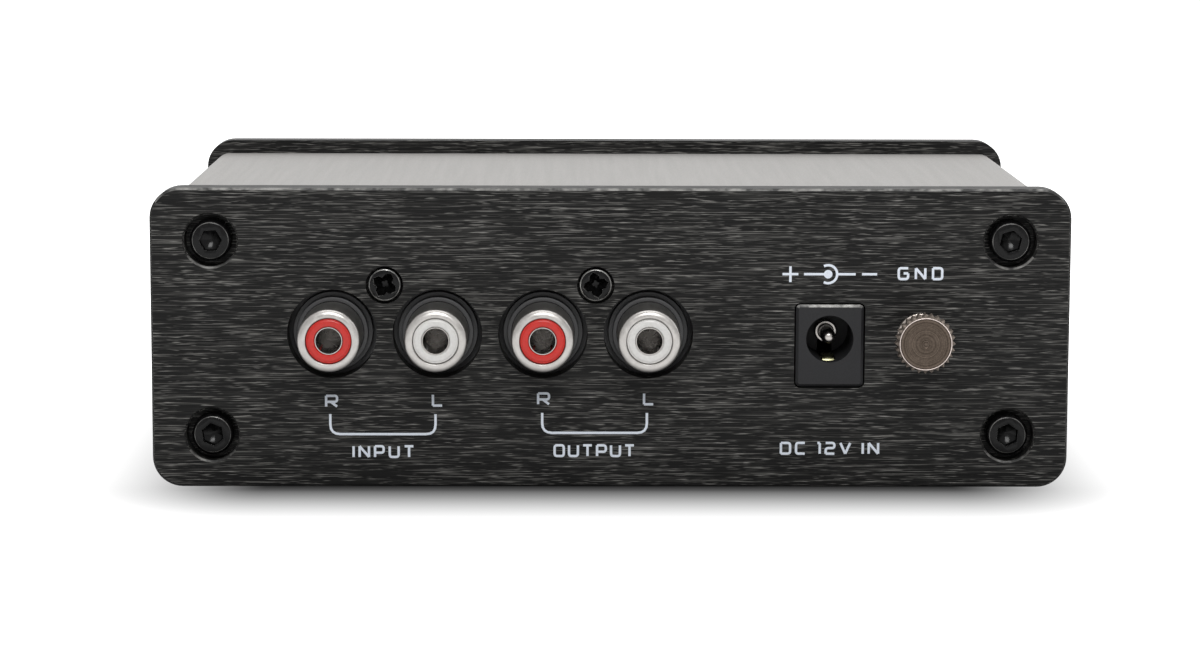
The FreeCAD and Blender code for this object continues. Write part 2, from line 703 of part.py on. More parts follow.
def make_ground_terminal():
    washer = rear_body("ground_washer", "ground_centre", "ground_height")
    bore = "ground_shaft_diameter / 2 + thread_running_gap"
    turned(washer, "Ring", [
        (bore, "-ground_seat"), ("ground_washer_diameter / 2", "-ground_seat"),
        ("ground_washer_diameter / 2", "-seat_gap"), (bore, "-seat_gap")])

    # Thumb screw: bevelled knurled head, neck on the washer, shaft through the panel and the nut
    screw = rear_body("ground_thumb_screw", "ground_centre", "ground_height")
    face = "ground_face_diameter / 2"
    head = "ground_head_diameter / 2"
    neck = "ground_neck_diameter / 2"
    shaft = "ground_shaft_diameter / 2"
    front = "-ground_reach"
    bevel = f"({head} - {face})"
    head_back = f"({front} + ground_head_length)"
    seat = "-(ground_seat + seat_gap)"
    turned(screw, "HeadAndShaft", [
        ("0", f"{front}"), (face, front), (head, f"{front} + {bevel}"),
        (head, f"{head_back} - {bevel}"), (face, head_back), (neck, head_back), (neck, seat),
        (shaft, seat), (shaft, "ground_shaft_inside - fit_gap * 10"),
        (f"{shaft} - fit_gap * 10", "ground_shaft_inside"), ("0", "ground_shaft_inside")])
    half = "knurl_depth * 0.9"
    groove = pocket(screw, "KnurlGroove", "XZ_Plane", "ground_head_length", [[
        ("0", f"{head} - knurl_depth"), (half, f"{head} + knurl_depth * 0.1"),
        (f"-{half}", f"{head} + knurl_depth * 0.1")]], lift=front)
    knurl = screw.newObject("PartDesign::PolarPattern", "Knurl")
    knurl.Originals = [groove]
    knurl.Axis = (groove.Profile[0], ["N_Axis"])
    knurl.Angle = 360
    knurl.Occurrences = 28
    screw.Tip = knurl

    nut = rear_body("ground_nut", "ground_centre", "ground_height")
    across_corners = "nut_width / sqrt(3)"
    flat = "nut_width / 2"
    pad(nut, "Hexagon", "XZ_Plane", "nut_thickness", [[
        ("0", across_corners), (f"-{flat}", f"{across_corners} / 2"), (f"-{flat}", f"-{across_corners} / 2"),
        ("0", f"-{across_corners}"), (flat, f"-{across_corners} / 2"), (flat, f"{across_corners} / 2")]],
        lift="lug_back")
    pocket(nut, "ThreadHole", "XZ_Plane", "nut_thickness",
           circles=[("0", "0", "ground_shaft_diameter + 2 * thread_running_gap")], lift="lug_back")

    lug = rear_body("ground_lug", "ground_centre", "ground_height")
    pad(lug, "Ring", "XZ_Plane", "lug_thickness", circles=[("0", "0", "lug_ring_diameter")],
        lift="panel_thickness")
    pad(lug, "Tail", "XZ_Plane", "lug_thickness", [middle_box("lug_tail_width", "0", "lug_tail_length")],
        lift="panel_thickness")
    pocket(lug, "Hole", "XZ_Plane", "lug_thickness",
           circles=[("0", "0", "ground_shaft_diameter + 4 * thread_running_gap")], lift="panel_thickness")

    # Wire: straight off the lug's tail, one bend downwards, straight down to the board
    wire = doc.addObject("Part::Feature", "ground_wire")
    radius = sizes["wire_bend_radius"]
    start = sizes["panel_thickness"] + sizes["lug_thickness"]
    bend = start + sizes["wire_straight"]
    top = sizes["ground_height"] + sizes["lug_tail_length"] - sizes["lug_tail_width"] / 2
    board_top = (sizes["screw_inset_top"] + sizes["screw_channel_diameter"] / 2
                 + sizes["board_rise"] + sizes["board_thickness"])
    middle = FreeCAD.Vector(0, bend + radius * math.sin(math.pi / 4), top - radius * (1 - math.cos(math.pi / 4)))
    run_points = [FreeCAD.Vector(0, start, top), FreeCAD.Vector(0, bend, top),
                  FreeCAD.Vector(0, bend + radius, top - radius),
                  FreeCAD.Vector(0, bend + radius, board_top)]
    path = Part.Wire([
        Part.LineSegment(run_points[0], run_points[1]).toShape(),
        Part.Arc(run_points[1], middle, run_points[2]).toShape(),
        Part.LineSegment(run_points[2], run_points[3]).toShape()])
    section = Part.Wire([Part.makeCircle(sizes["wire_diameter"] / 2, run_points[0], along_y)])
    wire.Shape = path.makePipeShell([section], True, False)
    place(wire, "ground_centre", "rear_face", "foot_drop")
    finish(wire, "ground_wire")


def make_power_switch():
    at = "-switch_from_middle"
    housing = front_body("power_switch_housing", at)
    pad(housing, "Block", "XZ_Plane", "switch_depth",
        [middle_box("switch_width", "board_top", "switch_axis + switch_above_axis")], lift="switch_front")
    hole = "plunger_width + 2 * plunger_gap"
    pocket(housing, "PlungerHole", "XZ_Plane", "plunger_in_switch + button_travel + button_stop_gap",
           [middle_box(hole, f"switch_axis - ({hole}) / 2", f"switch_axis + ({hole}) / 2")],
           lift="switch_front")

    plunger = front_body("power_switch_plunger", at)
    pad(plunger, "Bar", "XZ_Plane", "plunger_in_button + switch_front + plunger_in_switch - flange_back",
        [middle_box("plunger_width", "switch_axis - plunger_width / 2", "switch_axis + plunger_width / 2")],
        lift="flange_back - plunger_in_button")

    button = front_body("power_button", at, "switch_axis")
    radius = "button_diameter / 2"
    flange = "button_flange_diameter / 2"
    front = "-button_reach"
    back = "flange_back"
    turned(button, "Cap", [
        ("0", front), (f"{radius} - button_edge", front), (radius, f"{front} + button_edge"),
        (radius, f"{back} - button_flange_thickness"), (flange, f"{back} - button_flange_thickness"),
        (flange, back), ("0", back)])
    socket = "plunger_width + 2 * fit_gap"
    pocket(button, "PlungerSocket", "XZ_Plane", "plunger_in_button",
           [middle_box(socket, f"-({socket}) / 2", f"({socket}) / 2")], lift=f"{back} - plunger_in_button")


def make_power_light():
    at = "-light_from_middle"
    holder = front_body("light_holder", at, "switch_axis")
    bore = "light_diameter / 2 + fit_gap"
    turned(holder, "Bezel", [
        (bore, "-holder_flange_thickness"),
        ("holder_flange_diameter / 2 - holder_flange_thickness / 2", "-holder_flange_thickness"),
        ("holder_flange_diameter / 2", "-holder_flange_thickness / 2"), ("holder_flange_diameter / 2", "0"),
        ("holder_diameter / 2", "0"), ("holder_diameter / 2", "holder_depth"), (bore, "holder_depth")])

    light = front_body("power_light", at, "switch_axis")
    radius = "light_diameter / 2"
    front = "-light_reach"
    flange_front = "holder_depth + fit_gap"
    turned(light, "Lens", [
        ("0", front), (f"{radius} * 0.5", f"{front} + {radius} * 0.13"),
        (f"{radius} * 0.87", f"{front} + {radius} * 0.5"), (radius, f"{front} + {radius}"),
        (radius, flange_front), ("light_flange_diameter / 2", flange_front),
        ("light_flange_diameter / 2", "light_back"), ("0", "light_back")])
    width = "light_lead_width"
    run_end = "light_back + light_lead_run"
    for name, side in (("LeftLead", "-1"), ("RightLead", "1")):
        pad(light, name, "YZ_Plane", width, [[
            ("light_back", f"{width} / 2"), (run_end, f"{width} / 2"), (run_end, "leg_end - switch_axis"),
            (f"{run_end} - {width}", "leg_end - switch_axis"), (f"{run_end} - {width}", f"-{width} / 2"),
            ("light_back", f"-{width} / 2")]],
            lift=f"{side} * light_lead_pitch / 2 - {width} / 2")


# Board: its slots let the legs of the jacks and the light through
def make_board():
    part = rear_body("circuit_board")
    pad(part, "Board", "XY_Plane", "board_thickness",
        [box_points("-board_half_width", "board_half_width", "panel_thickness + board_end_gap",
                    "case_depth - panel_thickness - board_end_gap")], lift="board_bottom")

    def slot(across, front, back, width):
        half = f"(({width}) / 2 + leg_hole_gap)"
        return box_points(f"{across} - {half}", f"{across} + {half}",
                          f"{front} - leg_hole_gap", f"{back} + leg_hole_gap")

    slots = []
    for centre in jack_pairs.values():
        for side in jack_sides.values():
            across = f"{centre} + {side}"
            slots.append(slot(across, "shell_hold_depth - leg_thickness", "shell_hold_depth", "leg_width"))
            slots.append(slot(across, "housing_back", "housing_back + contact_plate_thickness", "leg_width"))
    spring_back = "power_jack_depth - spring_slot_gap"
    slots.append(slot("power_jack_centre", f"{spring_back} - leg_thickness", f"{spring_back}", "spring_width"))
    slots.append(slot("power_jack_centre", "power_jack_depth", "power_jack_depth + leg_thickness", "leg_width"))
    lead_back = "(case_depth - light_back - light_lead_run)"
    for side in ("-", "+"):
        slots.append(slot(f"light_from_middle {side} light_lead_pitch / 2", lead_back,
                          f"{lead_back} + light_lead_width", "light_lead_width"))
    for number, points in enumerate(slots):
        pocket(part, f"LegSlot{number}", "XY_Plane", "board_thickness", [points], lift="board_bottom")


# A piece that stands on the board: its own Z starts at the board's upper face
def board_body(label, across, along, turn=0):
    part = doc.addObject("PartDesign::Body", label)
    place(part, across, f"rear_face + {along}", "foot_drop + board_top", turn)
    return finish(part, label)


def make_chip(name, across, along):
    socket = board_body(f"{name}_chip_socket", across, along)
    half_length = "chip_socket_length / 2"
    pad(socket, "Frame", "XY_Plane", "chip_socket_height",
        [middle_box("chip_socket_width", f"-{half_length}", half_length)])
    pocket(socket, "Window", "XY_Plane", "chip_socket_height",
           [middle_box("chip_socket_width / 2", f"-{half_length} + chip_socket_rim",
                       f"{half_length} - chip_socket_rim")])
    chip = board_body(f"{name}_chip", across, along)
    half_length = "chip_length / 2"
    pad(chip, "Package", "XY_Plane", "chip_height", [middle_box("chip_width", f"-{half_length}", half_length)],
        lift="chip_socket_height + chip_lift")
    leg_out = "chip_width / 2 + chip_leg_width"
    legs = []
    for number in (-1.5, -0.5, 0.5, 1.5):
        low = f"{number} * leg_pitch - chip_leg_width / 2"
        legs.append(middle_box(f"2 * ({leg_out})", low, f"{low} + chip_leg_width"))
    pad(chip, "Legs", "XY_Plane", "chip_lift + chip_height / 2", legs, lift="chip_socket_height")


def make_film_capacitor(label, across, along):
    part = board_body(label, across, along)
    pad(part, "Box", "XY_Plane", "film_height", [middle_box("film_length", "-film_width / 2", "film_width / 2")])
    fillet(part, "BoxCorners", "film_width / 8", lambda edge: is_straight_along(edge, along_z))


def make_can_capacitor(label, across, along, size):
    part = board_body(label, across, along)
    radius = f"{size}_can_diameter / 2"
    height = f"{size}_can_height"
    turned(part, "Can", [
        ("0", "0"), (radius, "0"), (radius, f"{height} * 0.1"), (f"{radius} - can_groove", f"{height} * 0.14"),
        (radius, f"{height} * 0.18"), (radius, f"{height} - can_groove"),
        (f"{radius} - can_groove", height), ("0", height)], role="XZ_Plane")


def make_board_parts():
    make_chip("input_stage", "chip_first", "chip_row")
    make_chip("output_stage", "chip_first + chip_pitch", "chip_row")
    for n in range(4):
        make_film_capacitor(f"film_capacitor_{n + 1}", f"film_first + {n} * film_pitch", "film_row")
    make_can_capacitor("right_coupling_capacitor", "small_can_first", "can_row", "small")
    make_can_capacitor("left_coupling_capacitor", "small_can_first + small_can_pitch", "can_row", "small")
    make_can_capacitor("input_supply_capacitor", "supply_can_across", "supply_row", "large")
    make_can_capacitor("output_supply_capacitor", "large_can_across", "can_row", "large")

    regulator = board_body("supply_regulator", "regulator_across", "supply_row")
    low = "regulator_height * 0.25"
    pad(regulator, "Package", "XY_Plane", f"regulator_height - {low}",
        [middle_box("regulator_width", "-regulator_thickness / 2", "regulator_thickness / 2")], lift=low)
    pad(regulator, "Legs", "XY_Plane", low,
        [box_points(f"{shift} * leg_pitch - leg_thickness / 2", f"{shift} * leg_pitch + leg_thickness / 2",
                    "-leg_thickness / 2", "leg_thickness / 2") for shift in (-1, 0, 1)])

    choke = board_body("supply_choke", "choke_across", "supply_row")
    outer = "choke_diameter / 2"
    core = "choke_core_diameter / 2"
    turned(choke, "Drum", [
        ("0", "0"), (outer, "0"), (outer, "choke_flange"), (core, "choke_flange"),
        (core, "choke_height - choke_flange"), (outer, "choke_height - choke_flange"),
        (outer, "choke_height"), ("0", "choke_height")], role="XZ_Plane")

    make_axial_part("supply_diode", "diode", [("diode_across", "supply_row")])
    make_axial_part("resistors", "resistor",
                    [(f"resistor_first + {n} * resistor_pitch", "resistor_row") for n in range(12)])


# Parts that lie on the board with a lead at each end: body between two thin leads bent down
def make_axial_part(label, kind, spots):
    members = []
    for number, (across, along) in enumerate(spots):
        part = doc.addObject("PartDesign::Body", f"{label}_{number}")
        place(part, across, f"rear_face + {along}", f"foot_drop + board_top + {kind}_diameter / 2")
        half = f"{kind}_length / 2"
        radius = f"{kind}_diameter / 2"
        thin = "lead_diameter / 2"
        end = f"{half} + lead_reach"
        turned(part, "Body", [
            ("0", f"-({end})"), (thin, f"-({end})"), (thin, f"-{half}"), (radius, f"-{half}"),
            (radius, half), (thin, half), (thin, end), ("0", end)])
        pad(part, "DownLeads", "XY_Plane", f"{radius}",
            [middle_box("lead_diameter", f"-({end})", f"-({end}) + lead_diameter"),
             middle_box("lead_diameter", f"{end} - lead_diameter", end)], lift=f"-{radius}")
        members.append(part)
    finish(members[0] if len(members) == 1 else group(f"{label}_group", members), label)


def make_feet():
    side = "sleeve_width / 2 - foot_from_side"
    end = "sleeve_length / 2 - foot_from_panel"
    for number, (sign_across, sign_along) in enumerate((("-", "-"), ("", "-"), ("-", ""), ("", "")), 1):
        part = doc.addObject("PartDesign::Body", f"rubber_foot_{number}")
        place(part, f"{sign_across}({side})", f"case_centre + {sign_along}({end})", "0")
        radius = "foot_diameter / 2"
        height = "foot_drop + top_reveal"
        turned(part, "Disc", [
            ("0", "0"), (f"{radius} - foot_edge", "0"), (radius, "foot_edge"), (radius, height), ("0", height)],
            role="XZ_Plane")
        finish(part, f"rubber_foot_{number}")


make_sleeve()
make_connector_panel()
make_front_panel()
make_panel_screws()
for pair, centre in jack_pairs.items():
    make_jack_housing(f"{pair}_jack_housing", centre)
    for side, shift in jack_sides.items():
        make_shell(f"{pair}_{side}_shell", f"{centre} + {shift}")
        make_insulator(f"{pair}_{side}_insulator", f"{centre} + {shift}")
        make_contact(f"{pair}_{side}_contact", f"{centre} + {shift}")
make_jack_screws()
make_power_jack()
make_ground_terminal()
make_power_switch()
make_power_light()
make_board()
make_board_parts()
make_feet()
doc.recompute()

# Every object has to be sound, and every cut has to have taken something away
for item in doc.Objects:
    if "Invalid" in item.State or "Error" in item.State:
        raise RuntimeError(f"{item.Name} could not be made: {item.State}")
for cut in cuts:
    if cut.Shape.Volume > cut.BaseFeature.Shape.Volume - 1e-6:
        raise RuntimeError(f"{cut.Name} of {cut.getParentGeoFeatureGroup().Label} cuts nothing")
for part in subparts:
    if part.Shape.isNull() or not part.Shape.isValid() or not part.Shape.Solids:
        raise RuntimeError(f"{part.Label} has no sound shape")

os.makedirs("parts", exist_ok=True)
for part in subparts:
    part.Shape.exportStep(os.path.join("parts", part.Label + ".step"))
    box = part.Shape.BoundBox
    print(f"{part.Label}: {len(part.Shape.Solids)} solid, {part.Shape.Volume:.1f} mm3, "
          f"z {box.ZMin:.2f} to {box.ZMax:.2f}")
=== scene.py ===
import math

import bmesh
import bpy
from mathutils import Matrix, Vector


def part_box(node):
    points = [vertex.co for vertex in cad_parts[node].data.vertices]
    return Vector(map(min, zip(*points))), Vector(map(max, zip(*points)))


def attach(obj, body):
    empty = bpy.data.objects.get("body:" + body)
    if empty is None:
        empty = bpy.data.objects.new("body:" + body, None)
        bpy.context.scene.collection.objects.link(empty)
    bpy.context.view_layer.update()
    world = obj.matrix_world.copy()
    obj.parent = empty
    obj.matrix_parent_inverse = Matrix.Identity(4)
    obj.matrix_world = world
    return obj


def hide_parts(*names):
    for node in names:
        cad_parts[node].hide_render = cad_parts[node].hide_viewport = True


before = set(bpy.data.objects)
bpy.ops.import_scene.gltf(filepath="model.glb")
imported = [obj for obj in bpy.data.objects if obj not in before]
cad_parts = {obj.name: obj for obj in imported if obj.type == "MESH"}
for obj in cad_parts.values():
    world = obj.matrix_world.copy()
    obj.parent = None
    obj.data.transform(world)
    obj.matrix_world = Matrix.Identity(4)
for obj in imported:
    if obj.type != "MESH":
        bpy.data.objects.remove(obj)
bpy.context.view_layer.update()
mm = 0.001  # sizes and places are in mm, and turns in degrees, unless a note says otherwise
quarter = math.pi / 2


def restObject():
    if bpy.context.object and bpy.context.object.mode != "OBJECT":
        bpy.ops.object.mode_set(mode="OBJECT")
    bpy.ops.object.select_all(action="DESELECT")


def pickOnly(*pieces):
    restObject()
    for piece in pieces:
        piece.select_set(True)
    bpy.context.view_layer.objects.active = pieces[0]


def settle(piece, name):  # the place goes into the mesh
    piece.name = piece.data.name = name
    pickOnly(piece)
    bpy.ops.object.transform_apply(location=True, rotation=True, scale=True)
    return piece


def openEdit(piece, mode="FACE"):
    pickOnly(piece)
    bpy.ops.object.mode_set(mode="EDIT")
    bpy.ops.mesh.select_mode(type=mode)


def selectWhere(piece, test, kind="faces"):
    bpy.ops.mesh.select_all(action="DESELECT")
    mesh = bmesh.from_edit_mesh(piece.data)
    for item in getattr(mesh, kind):
        if test(item):
            item.select_set(True)
    mesh.select_flush_mode()
    bmesh.update_edit_mesh(piece.data)


def closeEdit(piece, merge=True):
    bpy.ops.mesh.select_all(action="SELECT")
    if merge:
        bpy.ops.mesh.remove_doubles(threshold=0.0005 * mm)
    bpy.ops.mesh.normals_make_consistent(inside=False)
    bpy.ops.object.mode_set(mode="OBJECT")
    return piece


# A shape turned about a line along Y or Z: each ring is (radius, place along the line)
def turnPiece(name, centre, rings, sides=64, axis="Y", solid=True, looped=True):
    restObject()
    upright = axis == "Z"
    radius, along = rings[0]

    def spot(place):
        return Vector((centre[0], centre[1], place) if upright else (centre[0], place, centre[1])) * mm

    bpy.ops.mesh.primitive_circle_add(
        vertices=sides, radius=radius * mm, fill_type="NGON" if solid else "NOTHING",
        location=spot(along), rotation=(0 if upright else quarter, 0, 0))
    piece = settle(bpy.context.object, name)
    openEdit(piece, "FACE" if solid else "EDGE")
    bpy.ops.mesh.select_all(action="SELECT")
    for nextRadius, nextAlong in rings[1:]:
        bpy.ops.mesh.extrude_region_move(
            TRANSFORM_OT_translate={"value": spot(nextAlong) - spot(along)})
        share = nextRadius / radius
        bpy.ops.transform.resize(value=(share, share, 1) if upright else (share, 1, share),
                                 center_override=spot(nextAlong))
        radius, along = nextRadius, nextAlong
    return closeEdit(piece, merge=not solid and looped)


def edgeRings(radius, front, edge, way=1):  # an edge is (in from the radius, behind the front)
    return [(radius - inwards, front + way * behind) for inwards, behind in edge]


def threadRings(first, way, radius, depth, pitch, rise, count):  # crests and roots, from the screw's point
    rings = []
    for n in range(count):
        along = first + way * n * pitch
        rings += [(radius, along), (radius - depth, along + way * rise)]
    return rings


# A rectangle (width across X, thickness) drawn out step by step along a path of (y, z)
def drawnStrip(name, across, width, thickness, path):
    restObject()
    y, z = path[0]
    bpy.ops.mesh.primitive_plane_add(size=1, location=(across * mm, y * mm, z * mm),
                                     rotation=(quarter, 0, 0))
    piece = bpy.context.object
    piece.scale = (width * mm, thickness * mm, 1)
    settle(piece, name)
    openEdit(piece)
    bpy.ops.mesh.select_all(action="SELECT")
    for nextY, nextZ in path[1:]:
        bpy.ops.mesh.extrude_region_move(
            TRANSFORM_OT_translate={"value": (0, (nextY - y) * mm, (nextZ - z) * mm)})
        y, z = nextY, nextZ
    return closeEdit(piece)


def block(name, low, high):
    restObject()
    bpy.ops.mesh.primitive_cube_add(
        size=1, location=[(a + b) / 2 * mm for a, b in zip(low, high)],
        scale=[(b - a) * mm for a, b in zip(low, high)])
    return settle(bpy.context.object, name)


def bevelled(piece, width, segments=2, angle=35):
    pickOnly(piece)
    soft = piece.modifiers.new("softEdges", "BEVEL")
    soft.width = width * mm
    soft.segments = segments
    soft.limit_method = "ANGLE"
    soft.angle_limit = math.radians(angle)
    soft.use_clamp_overlap = True
    bpy.ops.object.modifier_apply(modifier=soft.name)
    return piece


def carved(piece, cutter):
    pickOnly(piece)
    cut = piece.modifiers.new("carve", "BOOLEAN")
    cut.operation = "DIFFERENCE"
    cut.solver = "EXACT"
    cut.object = cutter
    bpy.ops.object.modifier_apply(modifier=cut.name)
    bpy.data.objects.remove(cutter)
    return piece


def copied(piece, name, shift, spin=0, about=(0, 0)):  # spin in degrees about a line along Y
    twin = piece.copy()
    twin.data = piece.data.copy()
    twin.name = twin.data.name = name
    if spin:
        home = Matrix.Translation(Vector((about[0], 0, about[1])) * mm)
        twin.data.transform(home @ Matrix.Rotation(math.radians(spin), 4, "Y") @ home.inverted())
    twin.data.transform(Matrix.Translation(Vector(shift) * mm))
    bpy.context.collection.objects.link(twin)
    return twin


def joined(name, *pieces):
    pickOnly(*pieces)
    bpy.ops.object.join()
    pieces[0].name = pieces[0].data.name = name
    return pieces[0]


def dress(piece, material, body="root", stands=(), angle=32):
    pickOnly(piece)
    bpy.ops.object.shade_smooth_by_angle(angle=math.radians(angle))
    piece.data.materials.clear()
    piece.data.materials.append(material)
    if stands:
        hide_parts(*stands)
    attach(piece, body)
    restObject()
    return piece


def tipped(piece, finish, test):  # a second finish on the faces that the test picks
    piece.data.materials.append(finish)
    last = len(piece.data.materials) - 1
    for face in piece.data.polygons:
        if test(face.center / mm, face):
            face.material_index = last


def outFrom(spot, centre):  # distance from a line along Y
    return math.hypot(spot.x - centre[0], spot.z - centre[1])


def boxOf(node):  # the low and the high corner of a node's box
    return [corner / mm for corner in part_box(node)]


def midLine(low, high):  # the line along Y through the middle of a box
    return (low.x + high.x) / 2, (low.z + high.z) / 2


def middle(node):
    low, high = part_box(node)
    return (low + high) / 2 / mm


def newGroup(name, inputs, outputs):
    group = bpy.data.node_groups.new(name, "ShaderNodeTree")
    for label, kind, value in inputs:
        socket = group.interface.new_socket(name=label, in_out="INPUT", socket_type=kind)
        socket.default_value = value
    for label, kind in outputs:
        group.interface.new_socket(name=label, in_out="OUTPUT", socket_type=kind)
    return group, group.nodes.new("NodeGroupInput"), group.nodes.new("NodeGroupOutput")


def addNode(tree, kind, **values):
    node = tree.nodes.new("ShaderNode" + kind)
    for key, value in values.items():
        setattr(node, key, value)
    return node


cloudScale = 0.06  # how often the patches change, against the grain
ringBand = (0.32, 0.68)  # the values of the noise that the lathe rings keep


# Noise drawn out along the directions that Stretch leaves small, cut to a band of its values
def makeGrainGroup():
    group, given, made = newGroup(
        "grain",
        [("Stretch", "NodeSocketVector", (1000, 1000, 1000)), ("Low", "NodeSocketFloat", 0.35),
         ("High", "NodeSocketFloat", 0.65), ("Detail", "NodeSocketFloat", 3)],
        [("Mask", "NodeSocketFloat"), ("Patches", "NodeSocketFloat")])
    place = addNode(group, "TexCoord")
    scaled = addNode(group, "VectorMath", operation="MULTIPLY")
    noise = addNode(group, "TexNoise")
    noise.inputs["Scale"].default_value = 1
    band = addNode(group, "MapRange")
    wide = addNode(group, "VectorMath", operation="SCALE")
    wide.inputs["Scale"].default_value = cloudScale
    cloud = addNode(group, "TexNoise")
    cloud.inputs["Scale"].default_value = 1
    cloud.inputs["Detail"].default_value = 2
    for a, b in ((place.outputs["Object"], scaled.inputs[0]), (given.outputs["Stretch"], scaled.inputs[1]),
                 (scaled.outputs[0], noise.inputs["Vector"]), (noise.outputs["Fac"], band.inputs["Value"]),
                 (given.outputs["Low"], band.inputs["From Min"]),
                 (given.outputs["High"], band.inputs["From Max"]),
                 (given.outputs["Detail"], noise.inputs["Detail"]),
                 (band.outputs["Result"], made.inputs["Mask"]),
                 (scaled.outputs[0], wide.inputs[0]), (wide.outputs[0], cloud.inputs["Vector"]),
                 (cloud.outputs["Fac"], made.inputs["Patches"])):
        group.links.new(a, b)
    return group


# Fine rings about a line along Y, as a lathe leaves them
def makeTurnedGroup():
    group, given, made = newGroup(
        "turnedRings",
        [("Centre", "NodeSocketVector", (0, 0, 0)), ("Rings", "NodeSocketFloat", 6000)],
        [("Mask", "NodeSocketFloat")])
    place = addNode(group, "TexCoord")
    shifted = addNode(group, "VectorMath", operation="SUBTRACT")
    flat = addNode(group, "VectorMath", operation="MULTIPLY")
    flat.inputs[1].default_value = (1, 0, 1)
    away = addNode(group, "VectorMath", operation="LENGTH")
    count = addNode(group, "Math", operation="MULTIPLY")
    noise = addNode(group, "TexNoise", noise_dimensions="1D")
    noise.inputs["Scale"].default_value = 1
    noise.inputs["Detail"].default_value = 3
    band = addNode(group, "MapRange")
    band.inputs["From Min"].default_value, band.inputs["From Max"].default_value = ringBand
    for a, b in ((place.outputs["Object"], shifted.inputs[0]), (given.outputs["Centre"], shifted.inputs[1]),
                 (shifted.outputs[0], flat.inputs[0]), (flat.outputs[0], away.inputs[0]),
                 (away.outputs["Value"], count.inputs[0]), (given.outputs["Rings"], count.inputs[1]),
                 (count.outputs[0], noise.inputs["W"]), (noise.outputs["Fac"], band.inputs["Value"]),
                 (band.outputs["Result"], made.inputs["Mask"])):
        group.links.new(a, b)
    return group


grainGroup = makeGrainGroup()
turnedGroup = makeTurnedGroup()


def groupNode(tree, group, **values):
    node = tree.nodes.new("ShaderNodeGroup")
    node.node_tree = group
    for key, value in values.items():
        node.inputs[key].default_value = value
    return node


def addWeighted(tree, mask, weight, total):  # a mask by its weight, on top of what came before
    part = addNode(tree, "Math", operation="MULTIPLY_ADD")
    part.inputs[1].default_value = weight
    part.inputs[2].default_value = 0
    tree.links.new(mask, part.inputs[0])
    if total:
        tree.links.new(total, part.inputs[2])
    return part.outputs[0]


# A finish in two tones: layers of grain pick between them, and move the roughness and the bump.
# A layer is (stretch, low, high, weight) and its detail, where that isn't 3; rings are (centre, count,
# weight). Stretch and count are changes in a metre.
def makeFinish(name, dark, light, rough, layers, bump=0.1, depth=0.01, metallic=0.0, cloud=0.0,
               rings=None, sockets=None):
    material = bpy.data.materials.new(name)
    material.use_nodes = True
    tree = material.node_tree
    shader = tree.nodes["Principled BSDF"]
    shader.inputs["Metallic"].default_value = metallic
    for key, value in (sockets or {}).items():
        shader.inputs[key].default_value = value
    total = None
    for stretch, low, high, weight, *detail in layers:
        grain = groupNode(tree, grainGroup, Stretch=stretch, Low=low, High=high, Detail=(detail or (3,))[0])
        total = addWeighted(tree, grain.outputs["Mask"], weight, total)
    if rings:
        centre, count, weight = rings
        turned = groupNode(tree, turnedGroup, Centre=Vector(centre) * mm, Rings=count)
        total = addWeighted(tree, turned.outputs["Mask"], weight, total)
    if cloud:
        total = addWeighted(tree, grain.outputs["Patches"], cloud, total)
    tone = addNode(tree, "Mix", data_type="RGBA")
    tone.clamp_factor = True
    tone.inputs[6].default_value = (*dark, 1)
    tone.inputs[7].default_value = (*light, 1)
    tree.links.new(total, tone.inputs[0])
    tree.links.new(tone.outputs[2], shader.inputs["Base Color"])
    gloss = addNode(tree, "MapRange")
    gloss.inputs["To Min"].default_value = rough[0]
    gloss.inputs["To Max"].default_value = rough[1]
    tree.links.new(total, gloss.inputs["Value"])
    tree.links.new(gloss.outputs["Result"], shader.inputs["Roughness"])
    relief = addNode(tree, "Bump")
    relief.inputs["Strength"].default_value = bump
    relief.inputs["Distance"].default_value = depth * mm
    tree.links.new(total, relief.inputs["Height"])
    tree.links.new(relief.outputs["Normal"], shader.inputs["Normal"])
    return material


thumbCentre, buttonCentre = middle("ground_thumb_screw"), middle("power_button")

